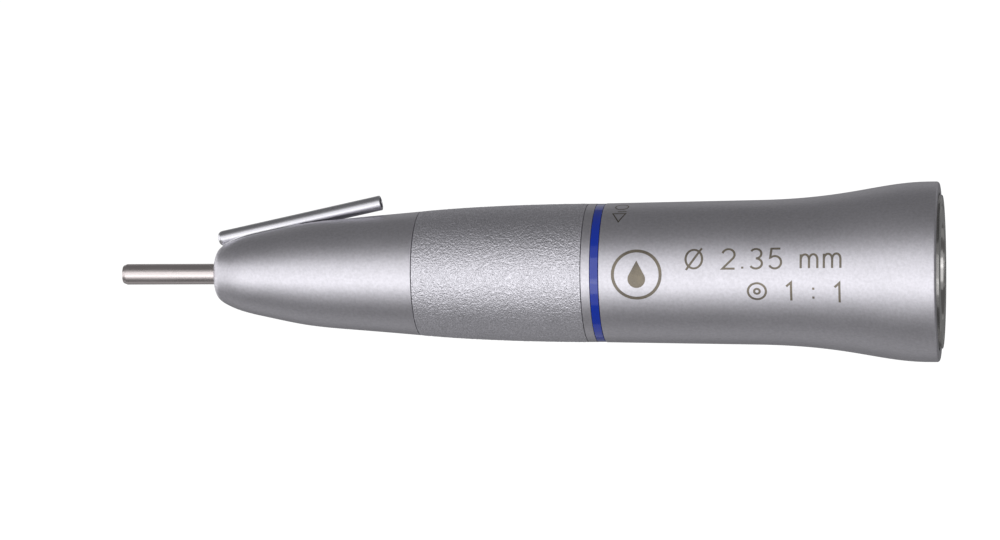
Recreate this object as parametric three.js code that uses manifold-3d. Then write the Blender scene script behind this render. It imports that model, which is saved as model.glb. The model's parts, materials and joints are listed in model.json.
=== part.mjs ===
// Straight 1:1 surgical handpiece for 2.35 mm shanks, in millimetres, as an assembly of its separate pieces.
// X runs along the axis, towards the motor, and +Z is up, the side that the coolant tube lies on.
// The origin is the middle of the rear ring face, where the motor seats.
// A piece's outline is a list of [x, r] points, place along the axis and radius, turned about X.
import * as THREE from "three";
import { mergeVertices } from "three/addons/utils/BufferGeometryUtils.js";
import Module from "manifold-3d";

const wasm = await Module();
wasm.setup();

// ---------------------------------------------------------------- driving dimensions
// Outer shells, from the rear to the front.
const SEAT_PROUD = 0.33; // the motor seat stands this far behind the twist sleeve
const RING_WIDTH = 0.95;
const COLLAR_WIDTH = 1.05;
const GRIP_LENGTH = 19.17;
const GRIP_SLOPE = 5.4; // in degrees, where the grip meets the nose
const GRIP_HANDLES = [0.37, 0.16]; // how far each end's slope carries, as shares of the length
const NOSE_LENGTH = 24.07;
const SEAM = 0.06; // gap between neighbouring shells

const RIM_WALL = 1.25; // of the twist sleeve at its rear rim
const REAR_ROUND = 0.45;
const REAR_LAND = 0.97; // straight stretch behind the flare
const FLARE_LENGTH = 19.2; // from the waist of the twist sleeve to its full radius
const FLARE_SLOPE = 0.85; // in degrees, at the waist
const FLARE_HANDLES = [0.55, 0.3]; // as for the grip
const WAIST_RISE = 0.265; // of the twist sleeve from its front to its waist
const SLEEVE_STEP = 0.03; // the twist sleeve stands this far proud of the ring
const RING_WALL = 0.57;
const RING_SEAT_WALL = 0.8; // of the collar under the ring
const COLLAR_SPIGOT_WALL = 0.65;
const COLLAR_SPIGOT_LENGTH = 1;
const GRIP_FRONT_WALL = 0.65;
const NOSE_THREAD_WALL = 0.71;
const NOSE_REAR_BEARING_WALL = 1.74; // of the nose round the second bearing
const NOSE_FRONT_BEARING_WALL = 0.85; // and round the first
const NOSE_CHAMBER_WALL = 0.895;
const NOSE_DOME_LENGTH = 1.54;
const NOSE_TIP_RISE = 0.54; // of the dome over the first sixth of its length
const NOSE_SHOULDER_RISE = 0.22; // of the dome over the chamber inside it, halfway along

// Bur and chuck.
const SHANK_RADIUS = 1.175;
const SHANK_LENGTH = 44.5;
const SHANK_CHAMFER = 0.15;
const SHANK_END_PLAY = 0.3;
const MOUTH_CLEARANCE = 0.15;
const MOUTH_LENGTH = 1.4;
const COLLET_LENGTH = 13.5;
const COLLET_WALL = 0.65;
const COLLET_GRIP_CLEARANCE = 0.03;
const COLLET_CONE_RISE = 0.2;
const COLLET_CONE_LENGTH = 2;
const COLLET_SLIT_WIDTH = 0.3;
const COLLET_SLIT_LENGTH = 9.5;
const COLLET_SLITS = 3;
const RELEASE_STROKE = 1.2; // forward travel that opens the chuck
const TWIST_ANGLE = THREE.MathUtils.degToRad(45);
const DRAW_BORE_CLEARANCE = 0.15;
const DRAW_ROD_RADIUS = 0.85;
const DRAW_PLUG_LENGTH = 1.2;
const DRAW_CONE_LENGTH = 0.6;
const DRAW_THREAD_LENGTH = 0.6;
const SPRING_LENGTH = 6.8;
const SPRING_WIRE_RADIUS = 0.2;
const SPRING_TURNS = 7;
const SPRING_SEAT_LENGTH = 1;
const CROSS_PIN_RADIUS = 0.5;
const CROSS_PIN_COVER = 0.5; // of the draw nut behind and in front of the cross pin
const CROSS_PIN_STANDOUT = 0.9; // from the spindle, on each side

// Spindle and its 5 x 8 x 2.5 mm ball bearings.
const SPINDLE_RADIUS = 2.5;
const SPINDLE_SHOULDER = 0.3;
const SPINDLE_NOSE_LENGTH = 3.4;
const SPINDLE_NOSE_CLEARANCE = 0.25;
const BEARING_SECTION = 1.5;
const BEARING_WIDTH = 2.5;
const BEARING_SPACE = 2; // between the two front bearings
const RACE_WALL = 0.5;
const RACE_GROOVE_DEPTH = 0.245;
const RACE_GROOVE_HALF_WIDTH = 0.4;
const BALLS = 7;
const CAGE_HALF_WIDTH = 0.7;
const CAGE_HALF_WALL = 0.1;
const NUT_LENGTH = 1.3;
const WASHER_WIDTH = 0.5;
const WASHER_PLATE = 0.2;
const SEAL_LIP = 0.5;
const SEAL_SETBACK = 0.4; // of the front seal from the spindle

// Inner housing and motor socket.
const HOUSING_RADIUS = 6.3;
const THREAD_LENGTH = 7.8; // of the inner housing inside the nose
const THREAD_STEP = 0.7; // from the grip's seat down to the thread
const HOUSING_WALL = 0.7;
const HOUSING_LIP = 0.6; // in front of the preload washer
const CAM_SEAT_STEP = 0.4;
const CAM_BORE_STEP = 0.55; // the thrust ring's bore is this much wider than the bearing seat
const CAM_SLEEVE_WALL = 0.75;
const CAM_END_WALL = 0.55;
const CAM_SETBACK = 0.2; // of the cam sleeve from the front of the twist sleeve
const SOCKET_RADIUS = 5;
const SOCKET_DEPTH = 30.5;
const SOCKET_WALL = 1.3;
const SOCKET_CHAMFER = 0.35;
const FLOOR_WALL = 1;
const SPIGOT_LENGTH = 1.8;
const DOG_PLAY = 0.4; // from the draw nut
const DOG_CLEARANCE = 0.5;
const DOG_REACH = 4; // of the claws behind the socket floor
const DOG_SLOT_WIDTH = 1.7;
const DOG_SLOT_DEPTH = 3;
const DOG_CHAMFER = 0.3;
const SEAT_FLANGE = 2.22;
const SEAT_LENGTH = 3.5;
const SEAT_CONE_LENGTH = 4;
const SEAT_CHAMFER = 0.2;
const SEAT_GAP = 0.23; // open gap between the motor seat and the twist sleeve
const LATCH_SETBACK = 4.5;
const LATCH_WIDTH = 1;
const LATCH_DEPTH = 0.35;
const O_RING_SETBACK = 18;
const O_RING_WIDTH = 0.9;
const O_RING_DEPTH = 0.5;
const O_RING_STANDOUT = 0.024; // from the coupling sleeve, towards the twist sleeve
const NOSE_O_RING_WIDTH = 0.75;
const NOSE_O_RING_DEPTH = 0.4;

// Release: the twist sleeve turns a cam that pushes two pins forward.
const RELEASE_PIN_RADIUS = 0.55;
const THRUST_WIDTH = 1.5;
const THRUST_PLAY = 0.25; // from the thrust ring to the cross pin
const THRUST_SETBACK = 0.8; // from the thrust ring to the coupling's spigot
const THRUST_CLEARANCE = 0.15; // from the thrust ring to the spindle
const STOP_SETBACK = 12;
const STOP_ANGLE = -Math.PI / 2;
const STOP_PIN_RADIUS = 0.6;
const STOP_SLOT_DEPTH = 0.7;

// External coolant tube.
const TUBE_RADIUS = 0.85;
const TUBE_BORE = 0.6;
const TUBE_LENGTH = 18.95;
const TUBE_ANGLE = THREE.MathUtils.degToRad(12.12); // away from the axis
const TUBE_SETBACK = 0.94; // of its front end from the front of the nose
const TUBE_ROUND = 0.25;
const BED_WALL = 0.2; // of the nose between the tube's bed and the first bearing
const HOSE_RADIUS = 1.35; // a hose pushed over the tube needs this much room
const HOSE_LENGTH = 5.6;

// Clearances.
const FIT = 0.05; // between pieces that stay together
const RUN = 0.08; // between pieces that turn or slide on each other
const CUT = 0.15; // around a piece that lies in a milled slot or groove
const SIDE_PLAY = 0.1; // along the axis, between turning pieces
const SLEEVE_PLAY = 0.12; // between the twist sleeve and the coupling sleeve
const OVERCUT = 1; // a cutting shape stands this far out of what it cuts

const SHELL_SIDES = 32;
const CORE_SIDES = 20;
const TUBE_SIDES = 16;
const PIN_SIDES = 10;
const NOSE_STEPS = 18;
const GRIP_STEPS = 6;
const FLARE_STEPS = 10;
const ROUND_STEPS = 3;
const SLOT_STEPS = 9;

// ---------------------------------------------------------------- places along the axis
// The rear half is placed from the motor seat at x = 0, forward.
const socketFloor = -SOCKET_DEPTH;
const floorFront = socketFloor - FLOOR_WALL;
const spigotFront = floorFront - SPIGOT_LENGTH;
const thrustRear = spigotFront - THRUST_SETBACK;
const thrustFront = thrustRear - THRUST_WIDTH;
const releaseX = (thrustRear + thrustFront) / 2;
const camFront = releaseX - RELEASE_STROKE - RELEASE_PIN_RADIUS - CUT - CAM_END_WALL;
const camRear = spigotFront + THRUST_SETBACK;
const crossPinX = thrustFront - THRUST_PLAY - CROSS_PIN_RADIUS;
const drawNutRear = crossPinX + CROSS_PIN_RADIUS + CROSS_PIN_COVER;
const drawRodRear = crossPinX - CROSS_PIN_RADIUS - CROSS_PIN_COVER / 2;
const drawNutFront = drawRodRear - DRAW_THREAD_LENGTH;
const springSeatRear = drawNutFront - SPRING_LENGTH;
const drawShoulder = springSeatRear - SPRING_SEAT_LENGTH - RELEASE_STROKE - DRAW_CONE_LENGTH;
const drawBoreFloor = drawShoulder - DRAW_PLUG_LENGTH;
const burEnd = drawBoreFloor - SHANK_END_PLAY;
const burTip = burEnd - SHANK_LENGTH;
const spindleRear = spigotFront - RUN;
const dogFront = drawNutRear + DOG_PLAY;
const lockNutRear = crossPinX - RELEASE_STROKE - CROSS_PIN_RADIUS - CUT - OVERCUT;
const rearNutFront = lockNutRear - NUT_LENGTH;
const bearing3 = rearNutFront - FIT - BEARING_WIDTH;
const washerFront = bearing3 - WASHER_WIDTH;
const seatConeFront = -SEAT_LENGTH - SEAT_CONE_LENGTH;

const sleeveRear = -SEAT_PROUD;
const sleeveFront = camFront - CAM_SETBACK;
const ringFront = sleeveFront - RING_WIDTH;
const collarFront = ringFront - COLLAR_WIDTH;
const gripFront = collarFront - GRIP_LENGTH;
const threadFront = gripFront - THREAD_LENGTH;

// The front half is placed from the mouth of the nose, backward.
const noseFront = gripFront - NOSE_LENGTH;
const chamberFront = noseFront + MOUTH_LENGTH;
const colletFront = chamberFront + RELEASE_STROKE + 2 * SIDE_PLAY;
const colletRear = colletFront + COLLET_LENGTH;
const spindleFront = colletFront;
const bearing1 = spindleFront + SPINDLE_NOSE_LENGTH;
const bearing2 = bearing1 + BEARING_WIDTH + BEARING_SPACE;
const frontNut = bearing2 + BEARING_WIDTH + FIT;
const tubeFront = noseFront + TUBE_SETBACK;

// ---------------------------------------------------------------- radii that follow from the fits
const mouthRadius = SHANK_RADIUS + MOUTH_CLEARANCE;
const colletBore = SHANK_RADIUS + COLLET_GRIP_CLEARANCE;
const colletRadius = colletBore + COLLET_WALL;
const colletHeadRadius = colletRadius + COLLET_CONE_RISE;
const spindleBore = colletRadius + RUN;
const spindleNoseRadius = SPINDLE_RADIUS + SPINDLE_SHOULDER;
const chamberRadius = colletHeadRadius + SEAL_LIP;
const bearingRadius = SPINDLE_RADIUS + BEARING_SECTION;
const bearingSeat = bearingRadius + FIT;
const innerRaceBore = SPINDLE_RADIUS + FIT;
const innerRaceRadius = innerRaceBore + RACE_WALL;
const outerRaceBore = bearingRadius - RACE_WALL;
const pitchRadius = (innerRaceRadius + outerRaceBore) / 2;
const ballRadius = (outerRaceBore - innerRaceRadius) / 2 + RACE_GROOVE_DEPTH - RUN;

const threadRadius = HOUSING_RADIUS - THREAD_STEP;
const housingBore = threadRadius - HOUSING_WALL;
const camSeatRadius = HOUSING_RADIUS - CAM_SEAT_STEP;
const camBore = bearingSeat + CAM_BORE_STEP;
const camSleeveBore = camSeatRadius + RUN;
const camSleeveRadius = camSleeveBore + CAM_SLEEVE_WALL;
const gripBore = HOUSING_RADIUS + FIT;
const collarSpigotRadius = gripBore + COLLAR_SPIGOT_WALL;
const ringSeatRadius = gripBore + RING_SEAT_WALL;
const collarRadius = ringSeatRadius + FIT + RING_WALL;
const gripFrontRadius = gripBore + GRIP_FRONT_WALL;

const socketOuterRadius = SOCKET_RADIUS + SOCKET_WALL;
const sleeveBore = socketOuterRadius + SLEEVE_PLAY;
const seatRadius = socketOuterRadius + SEAT_FLANGE;
const dogRadius = SPINDLE_RADIUS - FIT;
const dogPassage = SPINDLE_RADIUS + DOG_CLEARANCE;
const sleeveFrontRadius = collarRadius + SLEEVE_STEP;
const sleeveRearRadius = seatRadius + SEAT_GAP + RIM_WALL;
const sleeveStopBore = sleeveBore + STOP_SLOT_DEPTH;

// The coolant tube's line clears the first bearing by the wall under its bed.
const bedHeight = bearingSeat + BED_WALL + (TUBE_RADIUS + FIT) / Math.cos(TUBE_ANGLE);
const tubeHeight = bedHeight - (bearing1 - tubeFront) * Math.tan(TUBE_ANGLE);

// ---------------------------------------------------------------- solids
function asGeometry(solid) {
  const mesh = solid.getMesh();
  const geometry = new THREE.BufferGeometry();
  geometry.setAttribute("position", new THREE.BufferAttribute(mesh.vertProperties, 3));
  geometry.setIndex(new THREE.BufferAttribute(mesh.triVerts, 1));
  return geometry;
}

function asSolid(geometry) {
  const bare = geometry.clone();
  bare.deleteAttribute("normal");
  bare.deleteAttribute("uv");
  const merged = mergeVertices(bare, 1e-4);
  return new wasm.Manifold(
    new wasm.Mesh({
      numProp: 3,
      vertProperties: new Float32Array(merged.attributes.position.array),
      triVerts: new Uint32Array(merged.index.array),
    }),
  );
}

function cut(geometry, ...tools) {
  return asGeometry(tools.reduce((left, tool) => left.subtract(asSolid(tool)), asSolid(geometry)));
}

function join(geometry, ...others) {
  return asGeometry(others.reduce((sum, other) => sum.add(asSolid(other)), asSolid(geometry)));
}

// A closed outline of [x, r] points, turned about X. It starts at the front of the bore, goes out, back
// along the outside and forward again along the bore, or starts and ends on the axis.
function turned(outline, sides = CORE_SIDES) {
  const closed = outline[0][1] > 0 ? [...outline, outline[0]] : outline;
  const profile = closed.map(([x, r]) => new THREE.Vector2(r, x));
  return new THREE.LatheGeometry(profile, sides).rotateZ(-Math.PI / 2);
}

function ring(front, rear, bore, radius, sides = CORE_SIDES) {
  return turned([[front, bore], [front, radius], [rear, radius], [rear, bore]], sides);
}

// A round pin across the axis, from radius `low` to radius `high`, at `angle` from +Y towards +Z.
function radialPin(x, low, high, radius, angle) {
  return new THREE.CylinderGeometry(radius, radius, high - low, PIN_SIDES)
    .translate(0, (high + low) / 2, 0)
    .rotateX(angle)
    .translate(x, 0, 0);
}

// The room that a pin with clearance, of radius `half`, sweeps from `angle` back over `sweep` round the axis
// while it moves `travel` along it: a bar bent round the axis, between the radii `low` and `high`.
function sweptSlot(x, travel, half, low, high, angle, sweep) {
  const slope = Math.atan2(Math.abs(travel), sweep * low);
  const bar = new THREE.BoxGeometry((2 * half) / Math.cos(slope), high - low, 1, 1, 1, SLOT_STEPS);
  const place = bar.attributes.position;
  const overrun = half / low;
  for (let i = 0; i < place.count; i++) {
    const turn = (0.5 - place.getZ(i)) * (sweep + 2 * overrun) - overrun;
    const radius = (high + low) / 2 + place.getY(i);
    const along = x + (turn / sweep) * travel + place.getX(i);
    place.setXYZ(i, along, radius * Math.cos(angle - turn), radius * Math.sin(angle - turn));
  }
  return bar;
}

function points(curve, steps) {
  return curve.getPoints(steps).map((p) => [p.x, p.y]);
}

// A smooth stretch of outline between two [x, r] ends, each with a slope in degrees. The handles say how far
// each slope carries, as shares of the distance along X.
function smooth(start, startSlope, end, endSlope, handles, steps) {
  const length = end[0] - start[0];
  const handle = ([x, r], slope, reach) => {
    const angle = THREE.MathUtils.degToRad(slope);
    return new THREE.Vector2(x + reach * Math.cos(angle), r + reach * Math.sin(angle));
  };
  const curve = new THREE.CubicBezierCurve(
    new THREE.Vector2(...start),
    handle(start, startSlope, handles[0] * length),
    handle(end, endSlope, -handles[1] * length),
    new THREE.Vector2(...end),
  );
  return points(curve, steps);
}

// ---------------------------------------------------------------- outer shells
// The nose's outside: a blunt dome at the mouth, then one easy curve over the bearings to the grip.
function noseOutside() {
  const stations = [
    [noseFront, mouthRadius],
    [noseFront + NOSE_DOME_LENGTH / 6, mouthRadius + NOSE_TIP_RISE],
    [noseFront + NOSE_DOME_LENGTH / 2.2, chamberRadius + NOSE_SHOULDER_RISE],
    [noseFront + NOSE_DOME_LENGTH, chamberRadius + NOSE_CHAMBER_WALL],
    [bearing1, bearingSeat + NOSE_FRONT_BEARING_WALL],
    [bearing2, bearingSeat + NOSE_REAR_BEARING_WALL],
    [threadFront, threadRadius + FIT + NOSE_THREAD_WALL],
    [gripFront, gripFrontRadius],
  ];
  return points(new THREE.SplineCurve(stations.map(([x, r]) => new THREE.Vector2(x, r))), NOSE_STEPS);
}

// A geometry made along X, moved onto the coolant tube's line.
function onTubeLine(geometry) {
  return geometry.rotateY(-TUBE_ANGLE).translate(tubeFront, 0, tubeHeight);
}

function tubeBar(radius, start, end) {
  const bar = new THREE.CylinderGeometry(radius, radius, end - start, TUBE_SIDES);
  return onTubeLine(bar.rotateZ(-Math.PI / 2).translate((start + end) / 2, 0, 0));
}

function coolantTube() {
  const outline = [
    [0, TUBE_BORE],
    [0, TUBE_RADIUS - TUBE_ROUND / 2],
    [TUBE_ROUND, TUBE_RADIUS],
    [TUBE_LENGTH - TUBE_ROUND, TUBE_RADIUS],
    [TUBE_LENGTH, TUBE_RADIUS - TUBE_ROUND / 2],
    [TUBE_LENGTH, TUBE_BORE],
  ];
  return onTubeLine(turned(outline, TUBE_SIDES));
}

function noseCone() {
  const clearanceFront = spindleFront - 2 * SIDE_PLAY;
  const noseClearance = spindleNoseRadius + SPINDLE_NOSE_CLEARANCE;
  const shell = turned(
    [
      ...noseOutside(),
      [gripFront, threadRadius + FIT],
      [threadFront, threadRadius + FIT],
      [threadFront, bearingSeat],
      [bearing1, bearingSeat],
      [bearing1, noseClearance],
      [clearanceFront, noseClearance],
      [clearanceFront, chamberRadius],
      [chamberFront, chamberRadius],
      [chamberFront, mouthRadius],
    ],
    SHELL_SIDES,
  );
  const bed = tubeBar(TUBE_RADIUS + FIT, -OVERCUT, TUBE_LENGTH);
  const hoseRoom = tubeBar(HOSE_RADIUS, TUBE_LENGTH - HOSE_LENGTH, TUBE_LENGTH + HOSE_LENGTH);
  return cut(shell, bed, hoseRoom);
}

function gripSleeve() {
  const front = [gripFront + SEAM, gripFrontRadius];
  const rear = [collarFront, collarRadius];
  return turned(
    [
      [gripFront + SEAM, gripBore],
      ...smooth(front, GRIP_SLOPE, rear, 0, GRIP_HANDLES, GRIP_STEPS),
      [collarFront, collarSpigotRadius + FIT],
      [collarFront - COLLAR_SPIGOT_LENGTH, collarSpigotRadius + FIT],
      [collarFront - COLLAR_SPIGOT_LENGTH, gripBore],
    ],
    SHELL_SIDES,
  );
}

function markerCollar() {
  const spigotEnd = collarFront - COLLAR_SPIGOT_LENGTH + SEAM;
  return turned(
    [
      [spigotEnd, gripBore],
      [spigotEnd, collarSpigotRadius],
      [collarFront + SEAM, collarSpigotRadius],
      [collarFront + SEAM, collarRadius],
      [ringFront, collarRadius],
      [ringFront, ringSeatRadius],
      [sleeveFront - SEAM, ringSeatRadius],
      [sleeveFront - SEAM, gripBore],
    ],
    SHELL_SIDES,
  );
}

function blueRing() {
  return ring(ringFront + SEAM, sleeveFront, ringSeatRadius + FIT, collarRadius, SHELL_SIDES);
}

function twistSleeve() {
  const front = sleeveFront + SEAM;
  const flareEnd = [sleeveRear - REAR_LAND, sleeveRearRadius];
  const waist = [flareEnd[0] - FLARE_LENGTH, sleeveFrontRadius + WAIST_RISE];
  const corner = new THREE.EllipseCurve(
    sleeveRear - REAR_ROUND,
    sleeveRearRadius - REAR_ROUND,
    REAR_ROUND,
    REAR_ROUND,
    Math.PI / 2,
    0,
    true,
  );
  const camSeat = camSleeveRadius + FIT;
  const shell = turned(
    [
      [front, camSeat],
      [front, sleeveFrontRadius],
      ...smooth(waist, FLARE_SLOPE, flareEnd, 0, FLARE_HANDLES, FLARE_STEPS),
      ...points(corner, ROUND_STEPS),
      [sleeveRear, seatRadius + SEAT_GAP],
      [-SEAT_LENGTH, seatRadius + SEAT_GAP],
      [seatConeFront, sleeveBore],
      [camRear + SIDE_PLAY, sleeveBore],
      [camRear + SIDE_PLAY, camSeat],
    ],
    SHELL_SIDES,
  );
  const low = sleeveBore - STOP_SLOT_DEPTH;
  const half = STOP_PIN_RADIUS + CUT;
  return cut(shell, sweptSlot(-STOP_SETBACK, 0, half, low, sleeveStopBore, STOP_ANGLE, TWIST_ANGLE));
}

// ---------------------------------------------------------------- inner housing and motor socket
const releaseAngles = [0, Math.PI];

function innerHousing() {
  const front = threadFront + SEAM;
  const oRingRear = front + NOSE_O_RING_WIDTH + 2 * SIDE_PLAY;
  const outline = [
    [front, housingBore],
    [front, threadRadius - NOSE_O_RING_DEPTH],
    [oRingRear, threadRadius - NOSE_O_RING_DEPTH],
    [oRingRear, threadRadius],
    [gripFront + SEAM, threadRadius],
    [gripFront + SEAM, HOUSING_RADIUS],
    [sleeveFront, HOUSING_RADIUS],
    [sleeveFront, camSeatRadius],
    [floorFront - SEAM, camSeatRadius],
    [floorFront - SEAM, camBore],
    [lockNutRear, camBore],
    [lockNutRear, bearingSeat],
    [washerFront, bearingSeat],
    [washerFront, outerRaceBore],
    [washerFront - HOUSING_LIP, outerRaceBore],
    [washerFront - HOUSING_LIP, housingBore],
  ];
  const body = turned(outline, SHELL_SIDES);
  const width = 2 * (RELEASE_PIN_RADIUS + CUT);
  const depth = camSeatRadius - camBore + 2 * OVERCUT;
  const slots = releaseAngles.map((angle) =>
    new THREE.BoxGeometry(RELEASE_STROKE + width, depth, width)
      .translate(releaseX - RELEASE_STROKE / 2, (camSeatRadius + camBore) / 2, 0)
      .rotateX(angle),
  );
  return cut(body, ...slots);
}

function couplingSleeve() {
  const oRingFront = -O_RING_SETBACK - O_RING_WIDTH / 2 - CUT;
  const oRingRear = -O_RING_SETBACK + O_RING_WIDTH / 2 + CUT;
  const shell = turned(
    [
      [spigotFront, dogPassage],
      [spigotFront, camBore - FIT],
      [floorFront, camBore - FIT],
      [floorFront, socketOuterRadius],
      [oRingFront, socketOuterRadius],
      [oRingFront, socketOuterRadius - O_RING_DEPTH],
      [oRingRear, socketOuterRadius - O_RING_DEPTH],
      [oRingRear, socketOuterRadius],
      [seatConeFront, socketOuterRadius],
      [-SEAT_LENGTH, seatRadius],
      [-SEAT_CHAMFER, seatRadius],
      [0, seatRadius - SEAT_CHAMFER],
      [0, SOCKET_RADIUS + SOCKET_CHAMFER],
      [-SOCKET_CHAMFER, SOCKET_RADIUS],
      [-LATCH_SETBACK, SOCKET_RADIUS],
      [-LATCH_SETBACK, SOCKET_RADIUS + LATCH_DEPTH],
      [-LATCH_SETBACK - LATCH_WIDTH, SOCKET_RADIUS + LATCH_DEPTH],
      [-LATCH_SETBACK - LATCH_WIDTH, SOCKET_RADIUS],
      [socketFloor, SOCKET_RADIUS],
      [socketFloor, dogPassage],
    ],
    SHELL_SIDES,
  );
  const low = SOCKET_RADIUS - OVERCUT;
  const high = socketOuterRadius + OVERCUT;
  return cut(shell, radialPin(-STOP_SETBACK, low, high, STOP_PIN_RADIUS + FIT, STOP_ANGLE));
}

function stopPin() {
  return radialPin(-STOP_SETBACK, SOCKET_RADIUS + CUT, sleeveStopBore - CUT, STOP_PIN_RADIUS, STOP_ANGLE);
}

// ---------------------------------------------------------------- seals and small fixed rings
function frontSeal() {
  const bore = colletHeadRadius + RUN;
  return ring(chamberFront + SIDE_PLAY, spindleFront - SEAL_SETBACK, bore, chamberRadius - FIT);
}

function noseORing() {
  const front = threadFront + SEAM + SIDE_PLAY;
  const bore = threadRadius - NOSE_O_RING_DEPTH + FIT;
  return ring(front, front + NOSE_O_RING_WIDTH, bore, threadRadius - FIT, SHELL_SIDES);
}

function sleeveORing() {
  const front = -O_RING_SETBACK - O_RING_WIDTH / 2;
  const bore = socketOuterRadius - O_RING_DEPTH + FIT;
  return ring(front, front + O_RING_WIDTH, bore, socketOuterRadius + O_RING_STANDOUT, SHELL_SIDES);
}

// A shallow cone, pressed between the housing's lip and the rear bearing.
function preloadWasher() {
  return turned([
    [washerFront + FIT, outerRaceBore + FIT],
    [bearing3 - FIT - WASHER_PLATE, bearingRadius - FIT],
    [bearing3 - FIT, bearingRadius - FIT],
    [washerFront + FIT + WASHER_PLATE, outerRaceBore + FIT],
  ]);
}

// ---------------------------------------------------------------- bearings and spindle
function outerRace(front) {
  const rear = front + BEARING_WIDTH;
  const middle = front + BEARING_WIDTH / 2;
  return turned([
    [front, outerRaceBore],
    [front, bearingRadius],
    [rear, bearingRadius],
    [rear, outerRaceBore],
    [middle + RACE_GROOVE_HALF_WIDTH, outerRaceBore],
    [middle, outerRaceBore + RACE_GROOVE_DEPTH],
    [middle - RACE_GROOVE_HALF_WIDTH, outerRaceBore],
  ]);
}

function innerRace(front) {
  const rear = front + BEARING_WIDTH;
  const middle = front + BEARING_WIDTH / 2;
  return turned([
    [front, innerRaceBore],
    [front, innerRaceRadius],
    [middle - RACE_GROOVE_HALF_WIDTH, innerRaceRadius],
    [middle, innerRaceRadius - RACE_GROOVE_DEPTH],
    [middle + RACE_GROOVE_HALF_WIDTH, innerRaceRadius],
    [rear, innerRaceRadius],
    [rear, innerRaceBore],
  ]);
}

function ballCage(front) {
  const middle = front + BEARING_WIDTH / 2;
  const bore = pitchRadius - CAGE_HALF_WALL;
  const band = ring(middle - CAGE_HALF_WIDTH, middle + CAGE_HALF_WIDTH, bore, pitchRadius + CAGE_HALF_WALL);
  const balls = [];
  for (let i = 0; i < BALLS; i++) {
    const ball = new THREE.SphereGeometry(ballRadius, 6, 4);
    balls.push(ball.translate(middle, pitchRadius, 0).rotateX((i * 2 * Math.PI) / BALLS));
  }
  return join(band, ...balls);
}

function spindle() {
  const body = turned([
    [spindleFront, colletHeadRadius + RUN],
    [spindleFront, spindleNoseRadius],
    [bearing1, spindleNoseRadius],
    [bearing1, SPINDLE_RADIUS],
    [spindleRear, SPINDLE_RADIUS],
    [spindleRear, spindleBore],
    [spindleFront + COLLET_CONE_LENGTH, spindleBore],
  ]);
  const half = CROSS_PIN_RADIUS + CUT;
  const slot = new THREE.BoxGeometry(RELEASE_STROKE + 2 * half, 2 * half, 2 * SPINDLE_RADIUS + OVERCUT);
  return cut(body, slot.translate(crossPinX - RELEASE_STROKE / 2, 0, 0));
}

function driveDog() {
  const clawEnd = socketFloor + DOG_REACH;
  const body = turned([
    [dogFront, 0],
    [dogFront, spindleBore - FIT],
    [spindleRear + FIT, spindleBore - FIT],
    [spindleRear + FIT, dogRadius],
    [clawEnd - DOG_CHAMFER, dogRadius],
    [clawEnd, dogRadius - DOG_CHAMFER],
    [clawEnd, 0],
  ]);
  const fork = new THREE.BoxGeometry(DOG_SLOT_DEPTH + OVERCUT, 3 * SPINDLE_RADIUS, DOG_SLOT_WIDTH);
  return cut(body, fork.translate(clawEnd + (OVERCUT - DOG_SLOT_DEPTH) / 2, 0, 0));
}

function springSeat() {
  const front = springSeatRear - SPRING_SEAT_LENGTH;
  return ring(front, springSeatRear, DRAW_ROD_RADIUS + RUN, spindleBore - FIT);
}

// ---------------------------------------------------------------- chuck
function collet() {
  const body = turned([
    [colletFront, colletBore],
    [colletFront, colletHeadRadius],
    [colletFront + COLLET_CONE_LENGTH, colletRadius],
    [colletRear, colletRadius],
    [colletRear, colletBore],
  ]);
  const slits = [];
  for (let i = 0; i < COLLET_SLITS; i++) {
    const slit = new THREE.BoxGeometry(2 * COLLET_SLIT_LENGTH, 2 * colletRadius, COLLET_SLIT_WIDTH);
    slit.translate(colletFront, colletRadius + COLLET_SLIT_WIDTH, 0);
    slits.push(slit.rotateX((i * 2 * Math.PI) / COLLET_SLITS));
  }
  return cut(body, ...slits);
}

function drawBar() {
  const bore = SHANK_RADIUS + DRAW_BORE_CLEARANCE;
  return turned([
    [drawBoreFloor, 0],
    [drawBoreFloor, bore],
    [colletRear + FIT, bore],
    [colletRear + FIT, colletRadius],
    [drawShoulder, colletRadius],
    [drawShoulder + DRAW_CONE_LENGTH, DRAW_ROD_RADIUS],
    [drawRodRear - FIT, DRAW_ROD_RADIUS],
    [drawRodRear - FIT, 0],
  ]);
}

function crossBar(radius, length) {
  const bar = new THREE.CylinderGeometry(radius, radius, length, PIN_SIDES);
  return bar.rotateX(Math.PI / 2).translate(crossPinX, 0, 0);
}

function drawNut() {
  const body = turned([
    [drawRodRear, 0],
    [drawRodRear, DRAW_ROD_RADIUS + FIT],
    [drawNutFront, DRAW_ROD_RADIUS + FIT],
    [drawNutFront, colletRadius],
    [drawNutRear, colletRadius],
    [drawNutRear, 0],
  ]);
  return cut(body, crossBar(CROSS_PIN_RADIUS + FIT, 2 * colletRadius + OVERCUT));
}

function crossPin() {
  return crossBar(CROSS_PIN_RADIUS, 2 * (SPINDLE_RADIUS + CROSS_PIN_STANDOUT));
}

class Helix extends THREE.Curve {
  constructor(front, rear, radius, turns) {
    super();
    Object.assign(this, { front, rear, radius, turns });
  }

  getPoint(t) {
    const angle = t * this.turns * 2 * Math.PI;
    const x = this.front + t * (this.rear - this.front);
    return new THREE.Vector3(x, this.radius * Math.cos(angle), this.radius * Math.sin(angle));
  }
}

function chuckSpring() {
  const radius = (DRAW_ROD_RADIUS + spindleBore) / 2;
  const front = springSeatRear + SPRING_WIRE_RADIUS + FIT;
  const rear = drawNutFront - SPRING_WIRE_RADIUS - FIT;
  const section = new THREE.Shape().absarc(0, 0, SPRING_WIRE_RADIUS, 0, 2 * Math.PI);
  return new THREE.ExtrudeGeometry(section, {
    curveSegments: 5,
    steps: SPRING_TURNS * 10,
    extrudePath: new Helix(front, rear, radius, SPRING_TURNS),
  });
}

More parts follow.
